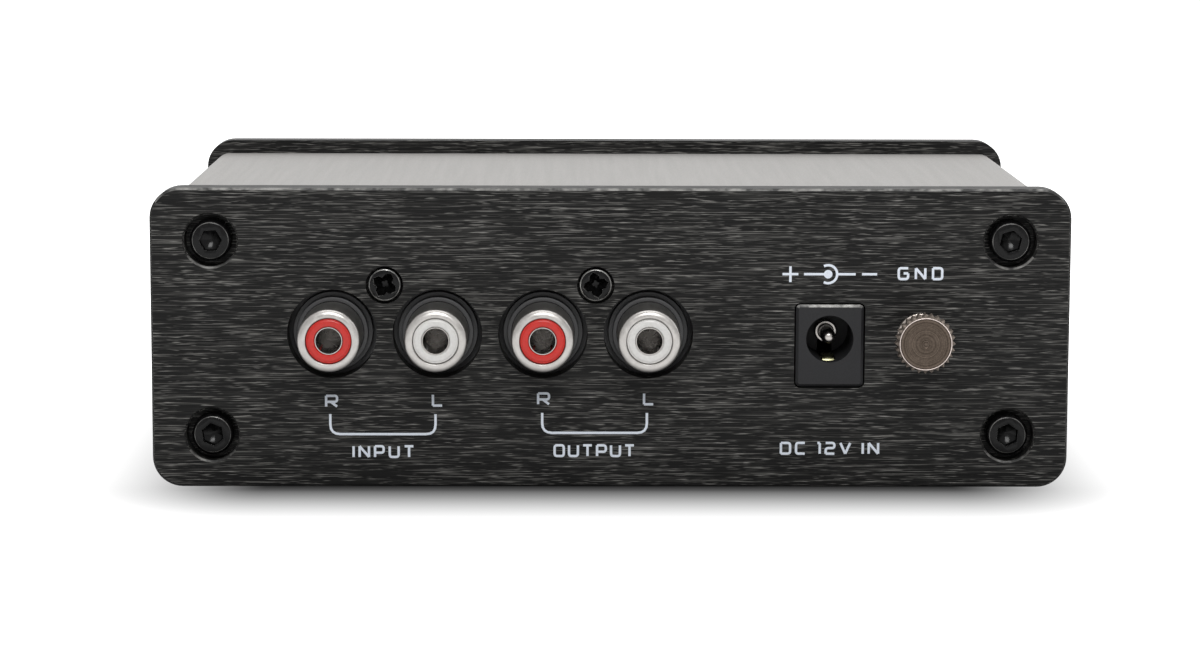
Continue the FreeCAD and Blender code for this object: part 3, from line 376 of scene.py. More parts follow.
finishLooks = {
    # brushed grain, with its streaks painted bright in the base colour as glints of light
    "panelAnodised": dict(
        dark=(0.005, 0.005, 0.0049), light=(0.34, 0.332, 0.313), rough=(0.46, 0.34),
        layers=[((71, 5900, 5900), 0.5, 0.82, 0.1, 1), ((167, 7300, 7300), 0.575, 0.76, 0.35, 1),
                ((430, 8700, 8700), 0.61, 0.76, 0.5, 1), ((57, 1500, 1500), 0.4, 0.8, 0.03, 1)],
        bump=0.3, depth=0.01, metallic=0.15, cloud=-0.03, sockets={"Specular IOR Level": 0.13}),
    # painted highlight: a bright finish for chosen panel and screw edges, in place of their glints of light
    "paintedPanelEdgeHighlight": dict(
        dark=(0.02, 0.02, 0.0195), light=(0.2, 0.196, 0.187), rough=(0.4, 0.28),
        layers=[((700, 700, 700), 0.38, 0.68, 0.85)], bump=0.1, depth=0.006, metallic=0.5),
    # painted highlight: a bright finish for chosen edges of screws and of the power jack, in place of their
    # glints of light
    "paintedEdgeHighlight": dict(
        dark=(0.05, 0.05, 0.05), light=(0.34, 0.335, 0.32), rough=(0.36, 0.22),
        layers=[((900, 900, 900), 0.35, 0.65, 0.9)], bump=0.1, depth=0.006, metallic=0.6),
    "sleeveAnodised": dict(
        dark=(0.325, 0.316, 0.306), light=(0.405, 0.394, 0.38), rough=(0.56, 0.46),
        layers=[((5200, 2600, 5200), 0.3, 0.7, 0.6), ((900, 30, 900), 0.35, 0.65, 0.25)],
        bump=0.15, depth=0.01, metallic=0.35, cloud=0.15),
    "blackSteel": dict(
        dark=(0.002, 0.002, 0.0021), light=(0.007, 0.007, 0.0072), rough=(0.16, 0.3),
        layers=[((2600, 2600, 2600), 0.4, 0.75, 0.7)], bump=0.12, depth=0.01, cloud=0.2,
        sockets={"Specular IOR Level": 0.11, "Coat Weight": 0.05, "Coat Roughness": 0.08}),
    "nickel": dict(
        dark=(0.3, 0.288, 0.275), light=(0.41, 0.397, 0.38), rough=(0.26, 0.4),
        layers=[((900, 5200, 900), 0.3, 0.7, 0.7), ((3000, 300, 3000), 0.4, 0.7, 0.3)],
        bump=0.1, depth=0.006, metallic=1.0, cloud=0.15),
    # painted highlight: a bright metal for the thin rim of the thumb screw's face
    "paintedRimHighlight": dict(
        dark=(0.62, 0.53, 0.49), light=(0.8, 0.7, 0.66), rough=(0.3, 0.42),
        layers=[((1800, 1800, 1800), 0.3, 0.7, 0.7)], bump=0.1, depth=0.006, metallic=0.7, cloud=0.2),
    "redPlastic": dict(
        dark=(0.48, 0.012, 0.006), light=(0.59, 0.018, 0.011), rough=(0.3, 0.42),
        layers=[((2400, 2400, 2400), 0.3, 0.7, 0.8)], bump=0.12, depth=0.01, cloud=0.2,
        sockets={"Specular IOR Level": 0.4, "Coat Weight": 0.12, "Coat Roughness": 0.15}),
    "whitePlastic": dict(
        dark=(0.63, 0.62, 0.6), light=(0.72, 0.71, 0.69), rough=(0.3, 0.42),
        layers=[((2400, 2400, 2400), 0.3, 0.7, 0.8)], bump=0.1, depth=0.01, cloud=0.2,
        sockets={"Coat Weight": 0.2, "Coat Roughness": 0.2}),
    "blackPlastic": dict(
        dark=(0.007, 0.007, 0.0075), light=(0.018, 0.018, 0.019), rough=(0.3, 0.46),
        layers=[((7000, 7000, 7000), 0.3, 0.7, 0.7)], bump=0.25, depth=0.01, cloud=0.25,
        sockets={"Specular IOR Level": 0.45}),
    "socketPlastic": dict(
        dark=(0.017, 0.017, 0.0178), light=(0.036, 0.036, 0.0375), rough=(0.42, 0.55),
        layers=[((8000, 8000, 8000), 0.3, 0.75, 0.7)], bump=0.35, depth=0.012, cloud=0.25,
        sockets={"Specular IOR Level": 0.45}),
    "powerPlastic": dict(
        dark=(0.0095, 0.0095, 0.0104), light=(0.02, 0.02, 0.022), rough=(0.42, 0.55),
        layers=[((8000, 8000, 8000), 0.3, 0.75, 0.7)], bump=0.35, depth=0.012, cloud=0.25,
        sockets={"Specular IOR Level": 0.22}),
    "toothMetal": dict(
        dark=(0.07, 0.056, 0.045), light=(0.24, 0.2, 0.17), rough=(0.5, 0.62),
        layers=[((3000, 3000, 3000), 0.35, 0.7, 0.7)], bump=0.2, depth=0.01, metallic=0.5, cloud=0.1),
    "tinnedContact": dict(
        dark=(0.3, 0.285, 0.27), light=(0.46, 0.44, 0.42), rough=(0.24, 0.34),
        layers=[((700, 200, 700), 0.3, 0.7, 0.5, 1)], bump=0.02, depth=0.004, metallic=1.0, cloud=0.1),
    "springBrass": dict(
        dark=(0.13, 0.125, 0.07), light=(0.26, 0.255, 0.16), rough=(0.22, 0.36),
        layers=[((1800, 500, 1800), 0.3, 0.7, 0.7)], bump=0.08, depth=0.006, metallic=1.0, cloud=0.2),
    "groundMetal": dict(
        dark=(0.024, 0.018, 0.0135), light=(0.112, 0.088, 0.071), rough=(0.3, 0.44),
        layers=[((4200, 4200, 4200), 0.4, 0.8, 0.35), ((900, 900, 900), 0.45, 0.8, 0.2)],
        bump=0.35, depth=0.012, metallic=1.0, cloud=0.12,
        rings=((thumbCentre.x, 0, thumbCentre.z), 4400, 0.55)),
    "washerMetal": dict(
        dark=(0.2, 0.175, 0.155), light=(0.4, 0.36, 0.33), rough=(0.25, 0.4),
        layers=[((3000, 3000, 3000), 0.3, 0.7, 0.6)], bump=0.15, depth=0.01, metallic=1.0, cloud=0.2,
        rings=((thumbCentre.x, 0, thumbCentre.z), 7000, 0.3)),
    "boardMask": dict(
        dark=(0.006, 0.055, 0.024), light=(0.012, 0.12, 0.05), rough=(0.28, 0.42),
        layers=[((260, 40, 260), 0.49, 0.51, 0.45), ((40, 300, 260), 0.49, 0.51, 0.35)],
        bump=0.3, depth=0.035, cloud=0.2, sockets={"Coat Weight": 0.4}),
    "chipPackage": dict(
        dark=(0.012, 0.012, 0.013), light=(0.026, 0.026, 0.027), rough=(0.5, 0.65),
        layers=[((6000, 6000, 6000), 0.3, 0.7, 0.8)], bump=0.3, depth=0.012, cloud=0.2),
    "filmBox": dict(
        dark=(0.33, 0.016, 0.012), light=(0.46, 0.035, 0.024), rough=(0.3, 0.45),
        layers=[((1500, 1500, 1500), 0.3, 0.7, 0.8)], bump=0.2, depth=0.02, cloud=0.3),
    "canSleeve": dict(
        dark=(0.012, 0.02, 0.06), light=(0.025, 0.04, 0.11), rough=(0.25, 0.4),
        layers=[((500, 500, 2500), 0.3, 0.7, 0.7)], bump=0.15, depth=0.02, cloud=0.3),
    "ferrite": dict(
        dark=(0.03, 0.03, 0.032), light=(0.075, 0.073, 0.07), rough=(0.5, 0.7),
        layers=[((3500, 3500, 3500), 0.3, 0.7, 0.8)], bump=0.4, depth=0.02, cloud=0.3),
    "resistorCoat": dict(
        dark=(0.11, 0.26, 0.38), light=(0.19, 0.38, 0.5), rough=(0.3, 0.45),
        layers=[((2500, 600, 2500), 0.3, 0.7, 0.8)], bump=0.2, depth=0.02, cloud=0.3),
    "wireJacket": dict(
        dark=(0.014, 0.014, 0.014), light=(0.04, 0.04, 0.04), rough=(0.35, 0.5),
        layers=[((2500, 2500, 700), 0.3, 0.7, 0.8)], bump=0.2, depth=0.02, cloud=0.2),
    "lightLens": dict(
        dark=(0.02, 0.07, 0.42), light=(0.05, 0.16, 0.62), rough=(0.08, 0.16),
        layers=[((1500, 1500, 1500), 0.3, 0.7, 0.6)], bump=0.05, depth=0.01, cloud=0.2,
        sockets={"Coat Weight": 0.6}),
    "buttonCap": dict(
        dark=(0.35, 0.345, 0.335), light=(0.58, 0.57, 0.55), rough=(0.28, 0.4),
        layers=[((4200, 4200, 4200), 0.35, 0.75, 0.3)], bump=0.25, depth=0.01, metallic=1.0, cloud=0.1,
        rings=((buttonCentre.x, 0, buttonCentre.z), 6000, 0.5)),
    "footRubber": dict(
        dark=(0.013, 0.013, 0.013), light=(0.034, 0.033, 0.032), rough=(0.7, 0.85),
        layers=[((2800, 2800, 2800), 0.3, 0.7, 0.8)], bump=0.45, depth=0.03, cloud=0.3),
    "panelInk": dict(
        dark=(0.66, 0.71, 0.79), light=(0.8, 0.85, 0.93), rough=(0.45, 0.6),
        layers=[((5000, 9000, 9000), 0.3, 0.6, 0.8)], bump=0.1, depth=0.006, cloud=0.2),
}
finishes = {name: makeFinish(name, **look) for name, look in finishLooks.items()}
print("finishes made:", len(finishes))

nodeFinish = {
    "case_sleeve": "sleeveAnodised", "connector_panel": "panelAnodised", "front_panel": "panelAnodised",
    "power_jack_housing": "powerPlastic", "ground_nut": "washerMetal", "ground_lug": "tinnedContact",
    "ground_wire": "wireJacket", "power_switch_housing": "blackPlastic",
    "power_switch_plunger": "blackPlastic", "circuit_board": "boardMask",
    "supply_regulator": "chipPackage", "supply_choke": "ferrite", "supply_diode": "chipPackage",
    "resistors": "resistorCoat",
}
for stage in ("input_stage", "output_stage"):
    nodeFinish[stage + "_chip"] = nodeFinish[stage + "_chip_socket"] = "chipPackage"
for n in range(1, 5):
    nodeFinish[f"film_capacitor_{n}"] = "filmBox"
for can in ("right_coupling", "left_coupling", "input_supply", "output_supply"):
    nodeFinish[can + "_capacitor"] = "canSleeve"
for node, finish in nodeFinish.items():
    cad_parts[node].data.materials.clear()
    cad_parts[node].data.materials.append(finishes[finish])

# Painted highlights on edges that face up to the lamps: how far they reach, and how far their faces look up
# and forward
paintedHighlightEdges = {"jackReach": 0.6, "jackFacing": 0.3, "panelReach": 0.35, "panelUp": 0.4,
              "panelForward": (0.3, 0.95)}


def paintTopEdgeHighlights():  # painted highlights on the top edges of the power jack's face and of the near panel
    low, high = boxOf("power_jack_housing")
    reach, facing = paintedHighlightEdges["jackReach"], paintedHighlightEdges["jackFacing"]
    tipped(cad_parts["power_jack_housing"], finishes["paintedEdgeHighlight"],
           lambda spot, part: spot.y < low.y + reach and spot.z > high.z - reach
           and part.normal.z > facing and part.normal.y < -facing)
    front = boxOf("connector_panel")[0].y
    least, most = paintedHighlightEdges["panelForward"]
    tipped(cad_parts["connector_panel"], finishes["paintedPanelEdgeHighlight"],
           lambda spot, part: spot.y < front + paintedHighlightEdges["panelReach"]
           and part.normal.z > paintedHighlightEdges["panelUp"] and least < -part.normal.y < most)


paintTopEdgeHighlights()
print("nodes finished:", len(nodeFinish))

# The camera stands as it did for the photograph
camera = {
    "place": (-5.9, -495.8, 85.2), "yaw": 0.56, "pitch": 7.85, "roll": 0.15,
    "sensor": 36.0, "focalPixels": 3481.0, "pictureWidth": 1200.0,
}


def makeCamera():
    yaw, pitch, roll = (math.radians(camera[key]) for key in ("yaw", "pitch", "roll"))
    ahead = Vector((math.sin(yaw) * math.cos(pitch), math.cos(yaw) * math.cos(pitch), -math.sin(pitch)))
    right = Vector((math.cos(yaw), -math.sin(yaw), 0))
    up = right.cross(ahead)
    rightRolled = right * math.cos(roll) + up * math.sin(roll)
    upRolled = up * math.cos(roll) - right * math.sin(roll)
    lens = bpy.data.cameras.new("camera")
    lens.sensor_width = camera["sensor"]
    lens.sensor_fit = "HORIZONTAL"
    lens.lens = camera["sensor"] * camera["focalPixels"] / camera["pictureWidth"]
    lens.clip_start = 0.01
    lens.clip_end = 50
    seen = bpy.data.objects.new("camera", lens)
    turn = Matrix((rightRolled, upRolled, -ahead)).transposed().to_4x4()
    seen.matrix_world = Matrix.Translation(Vector(camera["place"]) * mm) @ turn
    bpy.context.collection.objects.link(seen)
    bpy.context.scene.camera = seen


makeCamera()
print("camera placed")

panelScrew = {
    "headRadius": 2.75, "headDepth": 3.0, "length": 13.0, "pointRadius": 0.5, "pointLength": 0.9,
    "threadStart": 1.4, "thread": {"radius": 1.45, "depth": 0.2, "pitch": 0.75, "rise": 0.3, "count": 11},
    "headEdge": ((0, 0.45), (0.06, 0.3), (0.33, 0.09), (0.41, 0.03), (0.5, 0)),
    "socketWidth": 2.7, "socketDepth": 1.5, "coneDepth": 0.6, "coneTip": 0.08, "edge": 0.08,
    "turns": (9, 14, 37, 22),  # of the first screw, and of the others against it
    "socketReach": 1.8, "highlightRing": (0.34, 0.43), "highlightDepth": 0.1, "highlightFacing": (0.3, 0.93),
}


def makePanelScrews(node, name, facing):
    low, high = boxOf(node)
    top = low.y if facing < 0 else high.y
    inwards = -facing  # towards the middle of the case
    r, length, deep = panelScrew["headRadius"], panelScrew["length"], panelScrew["headDepth"]
    thread = panelScrew["thread"]
    corner = (low.x + r, low.z + r)
    rings = [(panelScrew["pointRadius"], top + inwards * length),
             (thread["radius"], top + inwards * (length - panelScrew["pointLength"]))]
    rings += threadRings(top + inwards * (length - panelScrew["threadStart"]), -inwards, **thread)
    rings += [(thread["radius"], top + inwards * deep), (r, top + inwards * deep)]
    rings += edgeRings(r, top, panelScrew["headEdge"], inwards)
    screw = turnPiece(name, corner, rings, sides=48)
    restObject()
    bpy.ops.mesh.primitive_cylinder_add(
        vertices=6, radius=panelScrew["socketWidth"] / math.sqrt(3) * mm,
        depth=2 * panelScrew["socketDepth"] * mm,
        location=(corner[0] * mm, top * mm, corner[1] * mm), rotation=(quarter, 0, 0))
    firstTurn, *furtherTurns = panelScrew["turns"]
    bpy.ops.transform.rotate(value=math.radians(firstTurn), orient_axis="Y",
                             center_override=bpy.context.object.location)
    cutter = settle(bpy.context.object, "hexKey")
    openEdit(cutter)
    selectWhere(cutter, lambda face: face.normal.y * inwards > 0.9)
    bpy.ops.mesh.extrude_region_move(
        TRANSFORM_OT_translate={"value": (0, inwards * panelScrew["coneDepth"] * mm, 0)})
    bpy.ops.transform.resize(value=(panelScrew["coneTip"], 1, panelScrew["coneTip"]))
    closeEdit(cutter)
    carved(screw, cutter)
    bevelled(screw, panelScrew["edge"], angle=40)
    across, up = high.x - low.x - 2 * r, high.z - low.z - 2 * r
    shifts = ((across, 0, 0), (0, 0, up), (across, 0, up))
    more = [copied(screw, f"{name}{n}", shift, turn, corner)
            for n, (shift, turn) in enumerate(zip(shifts, furtherTurns))]
    four = dress(joined(name, screw, *more), finishes["blackSteel"], stands=(node,))
    centres = [(x, z) for x in (low.x + r, high.x - r) for z in (low.z + r, high.z - r)]
    near, far = panelScrew["highlightRing"]
    least, most = panelScrew["highlightFacing"]

    def paintedGlint(spot, part):  # painted highlight: a ring on the head's edge, and the rim of the socket
        if abs(spot.y - top) >= panelScrew["highlightDepth"]:
            return False
        out = min(outFrom(spot, centre) for centre in centres)
        if out > panelScrew["socketReach"]:
            return r - far < out < r - near
        return least < abs(part.normal.y) < most

    # painted highlight on the head's edge and the socket's rim
    tipped(four, finishes["paintedPanelEdgeHighlight"], paintedGlint)


makePanelScrews("connector_panel_screws", "connectorPanelScrews", -1)
makePanelScrews("front_panel_screws", "frontPanelScrews", 1)

jackScrew = {
    "headRadius": 2.25, "headHeight": 1.7, "pointRadius": 0.3, "pointLength": 1.2, "threadStart": 1.6,
    "thread": {"radius": 1.45, "depth": 0.22, "pitch": 0.8, "rise": 0.35, "count": 9},
    # share of the radius, and depth below the top
    "dome": ((1, 0.42), (0.985, 0.27), (0.95, 0.15), (0.88, 0.07), (0.7, 0.02), (0.4, 0)),
    "islandTip": 1.05, "slotSide": 1.5, "slotEnd": 1.8,
    "slotSteps": ((0.4, 1.0), (0.35, 0.94), (1.25, 0.3)),  # how much deeper, and the share of width kept
    "edge": 0.08, "turns": (-15, 33), "highlightDepth": 0.14, "highlightFacing": (0.2, 0.93),
}


def makeJackScrews():
    low, high = boxOf("jack_fixing_screws")
    r, height, thread = jackScrew["headRadius"], jackScrew["headHeight"], jackScrew["thread"]
    centre = (low.x + r, (low.z + high.z) / 2)
    top = low.y
    rings = [(jackScrew["pointRadius"], high.y), (thread["radius"], high.y - jackScrew["pointLength"])]
    rings += threadRings(high.y - jackScrew["threadStart"], -1, **thread)
    rings += [(thread["radius"], top + height), (r, top + height)]
    rings += [(share * r, top + down) for share, down in jackScrew["dome"]]
    screw = turnPiece("jackFixingScrews", centre, rings, sides=48)
    restObject()
    above = jackScrew["slotSteps"][0][0]
    bpy.ops.mesh.primitive_circle_add(
        vertices=16, radius=jackScrew["slotEnd"] * mm, fill_type="NGON",
        location=(centre[0] * mm, (top - above) * mm, centre[1] * mm), rotation=(quarter, 0, 0))
    cutter = settle(bpy.context.object, "crossKey")
    openEdit(cutter, "VERT")
    middlePoint = Vector((centre[0], 0, centre[1])) * mm

    def eighth(vert):  # 0 on an island, 1 beside it, 2 at a slot's end
        away = vert.co - middlePoint
        return abs((round(math.degrees(math.atan2(away.z, away.x)) / 22.5) + 2) % 4 - 2)

    steps = {vert.index: eighth(vert) for vert in bmesh.from_edit_mesh(cutter.data).verts}
    for wanted, radius in ((0, jackScrew["islandTip"]), (1, jackScrew["slotSide"])):
        selectWhere(cutter, lambda vert, w=wanted: steps[vert.index] == w, "verts")
        share = radius / jackScrew["slotEnd"]
        bpy.ops.transform.resize(value=(share, 1, share), center_override=middlePoint)
    bpy.ops.mesh.select_mode(type="FACE")
    bpy.ops.mesh.select_all(action="SELECT")
    for deeper, share in jackScrew["slotSteps"]:
        bpy.ops.mesh.extrude_region_move(TRANSFORM_OT_translate={"value": (0, deeper * mm, 0)})
        bpy.ops.transform.resize(value=(share, 1, share), center_override=middlePoint)
    closeEdit(cutter)
    carved(screw, cutter)
    bevelled(screw, jackScrew["edge"], angle=40)
    shifts = ((0, 0, 0), (high.x - low.x - 2 * r, 0, 0))
    pair = [copied(screw, f"jackScrew{n}", shift, turn, centre)
            for n, (shift, turn) in enumerate(zip(shifts, jackScrew["turns"]))]
    bpy.data.objects.remove(screw)
    both = dress(joined("jackFixingScrews", *pair), finishes["blackSteel"],
                 stands=("jack_fixing_screws",))
    # painted highlight on the slot edges and the dome's tilted faces near the top
    least, most = jackScrew["highlightFacing"]
    tipped(both, finishes["paintedEdgeHighlight"], lambda spot, part: spot.y < top + jackScrew["highlightDepth"]
           and least < -part.normal.y < most)


makeJackScrews()
print("screws made")

jack = {"heldRadius": 3.9, "legWidth": 1.2, "legThickness": 0.6, "legFoot": 11.6}  # shared by its pieces

jackShell = {
    "radius": 4.15, "bore": 3.03, "lipRound": 0.85, "lipDepth": 0.7, "lipSteps": 8,
    "mouth": ((-0.13, 0), (-0.04, 0.06), (0, 0.2)), "shoulder": -36.8, "end": -32.0,
    "legIn": 0.3, "legEdge": 0.12,
}


def makeShell(name, across, height, front):
    r, bore, held, end = jackShell["radius"], jackShell["bore"], jack["heldRadius"], jackShell["end"]
    soft, deep, shoulder = jackShell["lipRound"], jackShell["lipDepth"], jackShell["shoulder"]
    rings = [(bore, end), (held, end), (held, shoulder), (r, shoulder)]
    for n in range(jackShell["lipSteps"] + 1):  # the rolled lip
        turn = n / jackShell["lipSteps"] * quarter
        rings.append((r - soft + soft * math.cos(turn), front + deep - deep * math.sin(turn)))
    rings += edgeRings(bore, front, jackShell["mouth"]) + [(bore, end)]
    shell = turnPiece(name, (across, height), rings, sides=72, solid=False)
    width, foot = jack["legWidth"], jack["legFoot"]
    leg = block("leg", (across - width / 2, end - jack["legThickness"], foot),
                (across + width / 2, end, height - bore - jackShell["legIn"]))
    bevelled(leg, jackShell["legEdge"])
    return joined(name, shell, leg)


jackInsulator = {
    "radius": 2.98, "hole": 1.85, "end": -23.0, "step": -31.95,
    "face": ((0, 0.3), (0.03, 0.16), (0.12, 0.1), (0.2, 0.1), (0.28, 0.03), (0.4, 0)),
    "mouth": ((-0.3, 0), (-0.1, 0.05), (0, 0.2)),
}


def makeInsulator(name, across, height, front):
    hole, r, held = jackInsulator["hole"], jackInsulator["radius"], jack["heldRadius"]
    end, step = jackInsulator["end"], jackInsulator["step"]
    rings = [(hole, end), (held, end), (held, step), (r, step)]
    rings += edgeRings(r, front, jackInsulator["face"]) + edgeRings(hole, front, jackInsulator["mouth"])
    return turnPiece(name, (across, height), rings + [(hole, end)], sides=72, solid=False)


jackContact = {
    "radius": 1.8, "wall": 0.1, "end": -23.0,
    "leaves": ((0, 0), (0.02, 0.6), (0.1, 2.2), (0.2, 3.8), (0.1, 5.2), (0, 6.2)),
    "slitFrom": 0.5, "slitTo": 6.0, "slitHalfAngle": 3,
    "plateRadius": 2.7, "plateEdge": ((0, 0), (0, 0.42), (0.08, 0.5)),
    "legThickness": 0.5, "legIn": 1.4, "legEdge": 0.1, "tipDepth": 0.1,
}


def makeContact(name, across, height, front):
    r, end = jackContact["radius"], jackContact["end"]
    centre = Vector((across, 0, height)) * mm
    rings = edgeRings(r, front, jackContact["leaves"]) + [(r, end)]
    tube = turnPiece(name, (across, height), rings, sides=64, solid=False, looped=False)
    openEdit(tube)

    def inSlit(face):  # four slits part the leaves
        away = face.calc_center_median() - centre
        if not (front + jackContact["slitFrom"]) * mm < away.y < (front + jackContact["slitTo"]) * mm:
            return False
        angle = math.atan2(away.z, away.x) + quarter / 2
        offSlit = abs((angle + quarter / 2) % quarter - quarter / 2)
        return offSlit < math.radians(jackContact["slitHalfAngle"])

    selectWhere(tube, inSlit)
    bpy.ops.mesh.delete(type="FACE")
    closeEdit(tube)
    wall = tube.modifiers.new("wall", "SOLIDIFY")
    wall.thickness = jackContact["wall"] * mm
    wall.offset = -1
    pickOnly(tube)
    bpy.ops.object.modifier_apply(modifier=wall.name)
    plate = turnPiece("plate", (across, height),
                      edgeRings(jackContact["plateRadius"], end, jackContact["plateEdge"]), sides=48)
    width, thick = jack["legWidth"], jackContact["legThickness"]
    leg = block("leg", (across - width / 2, end, jack["legFoot"]),
                (across + width / 2, end + thick, height - jackContact["legIn"]))
    bevelled(leg, jackContact["legEdge"])
    return joined(name, tube, plate, leg)


jackHousing = {
    "room": 0.05, "edge": 0.3, "bossRadius": 5.35, "bossLength": 2.8, "bossSunk": 0.4, "bossStep": 1.5,
    "bossEdge": 0.1, "collarRadius": 4.76, "collarWall": 0.62, "collarBottom": 1.95,
    "collarEdge": ((0, 0.14), (0.04, 0.04), (0.12, 0)), "collarMouth": ((-0.1, 0), (0, 0.1), (0, 1.9)),
    "screwRadius": 1.5, "screwDepth": 5, "overshoot": 1,
}


def makeJackHousing(pair, name):
    low, high = boxOf(pair + "_jack_housing")
    held, boss = jack["heldRadius"] + jackHousing["room"], jackHousing["bossRadius"]
    front, back = low.y, low.y + jackHousing["bossLength"]
    body = bevelled(block(name, (low.x, back, low.z), (high.x, high.y, high.z)), jackHousing["edge"])
    places = [(spot.x, spot.z) for spot in (middle(f"{pair}_{side}_insulator") for side in ("right", "left"))]
    cutFrom = back - jackHousing["overshoot"]
    for place in places:
        bore = [(held, cutFrom), (held, high.y + jackHousing["overshoot"])]
        carved(body, turnPiece("bore", place, bore))
    screwAt, wide = ((low.x + high.x) / 2, middle("jack_fixing_screws").z), jackHousing["screwRadius"]
    hole = [(wide, cutFrom), (wide, back + jackHousing["screwDepth"])]
    carved(body, turnPiece("screwHole", screwAt, hole, sides=32))
    sunk, step = back + jackHousing["bossSunk"], front + jackHousing["bossStep"]
    edge = jackHousing["bossEdge"]
    collar = jackHousing["collarRadius"]
    rings = [(held, sunk), (boss, sunk), (boss, step + edge), (boss - edge, step), (collar, step)]
    rings += edgeRings(collar, front, jackHousing["collarEdge"])
    rings += edgeRings(collar - jackHousing["collarWall"], front, jackHousing["collarMouth"])
    rings += [(held, front + jackHousing["collarBottom"]), (held, sunk)]
    bosses = [turnPiece(f"boss{n}", place, rings, sides=72, solid=False) for n, place in enumerate(places)]
    dress(joined(name, body, *bosses), finishes["socketPlastic"],
          stands=(pair + "_jack_housing",))


makeJackHousing("input", "inputJackHousing")
makeJackHousing("output", "outputJackHousing")


def makeJacks():
    first = middle("input_right_insulator")
    models = {}
    for kind, make in (("Shell", makeShell), ("Insulator", makeInsulator), ("Contact", makeContact)):
        front = boxOf("input_right_" + kind.lower())[0].y
        models[kind] = make("inputRight" + kind, first.x, first.z, front)
    tipEnd = boxOf("input_right_contact")[0].y + jackContact["tipDepth"]
    # the first jack comes last, because the others are copied from it before it is dressed
    for pair, side in (("input", "left"), ("output", "right"), ("output", "left"), ("input", "right")):
        shift = (middle(f"{pair}_{side}_insulator").x - first.x, 0, 0)
        colour = "red" if side == "right" else "white"
        looks = {"Shell": ("nickel", "nickel"), "Insulator": (colour + "Plastic", colour + "_plastic"),
                 "Contact": ("tinnedContact", "tinned_contact")}
        for kind, (look, slot) in looks.items():
            piece = models[kind]
            if (pair, side) != ("input", "right"):
                piece = copied(piece, pair + side.capitalize() + kind, shift)
            dress(piece, finishes[look], stands=(f"{pair}_{side}_{kind.lower()}",))
            if kind == "Contact" and side == "right":
                tipped(piece, finishes["nickel"], lambda spot, face: spot.y < tipEnd)


makeJacks()
print("jacks made")

# Pin and spring inside the bore of the power jack
powerPin = {
    "height": 20.8, "radius": 1.0, "root": 0.8, "collar": 1.45, "collarWall": 0.38,
    "collarBack": -28.9, "collarFront": -30.7, "collarBottom": 1.0,
    "collarEdge": ((0, 0.15), (0.1, 0)), "collarMouth": ((-0.06, 0), (0, 0.1), (0, 0.9)),
    # share of the radius, and distance behind the tip
    "nose": ((1, 1.5), (0.97, 1.05), (0.88, 0.66), (0.74, 0.36), (0.56, 0.15), (0.36, 0.04), (0.14, 0.0)),
}


def makePowerPin():
    low, high = boxOf("power_jack_pin")
    root, r, collar = powerPin["root"], powerPin["radius"], powerPin["collar"]
    front, back = powerPin["collarFront"], powerPin["collarBack"]
    rings = [(root, high.y), (root, back), (collar, back)]
    rings += edgeRings(collar, front, powerPin["collarEdge"])
    rings += edgeRings(collar - powerPin["collarWall"], front, powerPin["collarMouth"])
    rings += [(r, front + powerPin["collarBottom"])]
    rings += [(share * r, low.y + behind) for share, behind in powerPin["nose"]]
    dress(turnPiece("powerJackPin", ((low.x + high.x) / 2, powerPin["height"]), rings, sides=48),
          finishes["tinnedContact"], stands=("power_jack_pin",))


makePowerPin()

powerSpring = {
    "thickness": 0.3, "endDrop": 0.75, "legIn": 0.2, "legTop": 0.8, "edge": 0.13,
    # distance behind the front end, and drop below the top
    "leaf": ((0.02, 0.95), (0.1, 0.6), (0.35, 0.25), (0.8, 0.04), (1.5, 0), (3.2, 0.12), (5, 0.5)),
}


def makePowerSpring():
    low, high = boxOf("power_jack_spring")
    thick, inside = powerSpring["thickness"], powerSpring["legIn"]
    top = high.z - thick / 2
    path = [(low.y + behind, top - drop) for behind, drop in powerSpring["leaf"]]
    path.append((high.y, top - powerSpring["endDrop"]))
    leaf = drawnStrip("powerJackSpring", (low.x + high.x) / 2, high.x - low.x, thick, path)
    leg = block("leg", (low.x + inside, high.y - thick, low.z),
                (high.x - inside, high.y, top - powerSpring["legTop"]))
    spring = bevelled(joined("powerJackSpring", leaf, leg), powerSpring["edge"])
    dress(spring, finishes["springBrass"], stands=("power_jack_spring",))


makePowerSpring()
print("power jack made")

thumbScrew = {
    "teeth": 28, "tip": 3.95, "valley": 3.52, "flank": 0.03, "face": 3.45, "headLength": 2.6,
    "frontChamfer": 0.42, "backChamfer": (0.1, 0.4), "neck": 2.8, "neckEnd": -38.85,
    "pointChamfer": 0.5, "threadStart": 1.0,
    "thread": {"radius": 1.95, "depth": 0.25, "pitch": 0.7, "rise": 0.3, "count": 12},
    "rim": ((0, 0.14), (0.01, 0.04), (0.05, 0), (0.09, 0), (0.13, 0.05)),
    # radius, and depth behind the front, of the rings about the middle
    "dimple": ((1.2, 0.07), (0.55, 0.07), (0.45, 0.13), (0.32, 0.13), (0.26, 0.04), (0.1, 0.01)),
    "rimDepth": 0.09, "rimInside": 0.14, "rimOutside": 0.005, "teethFrom": 0.1, "tipBand": 0.02,
}


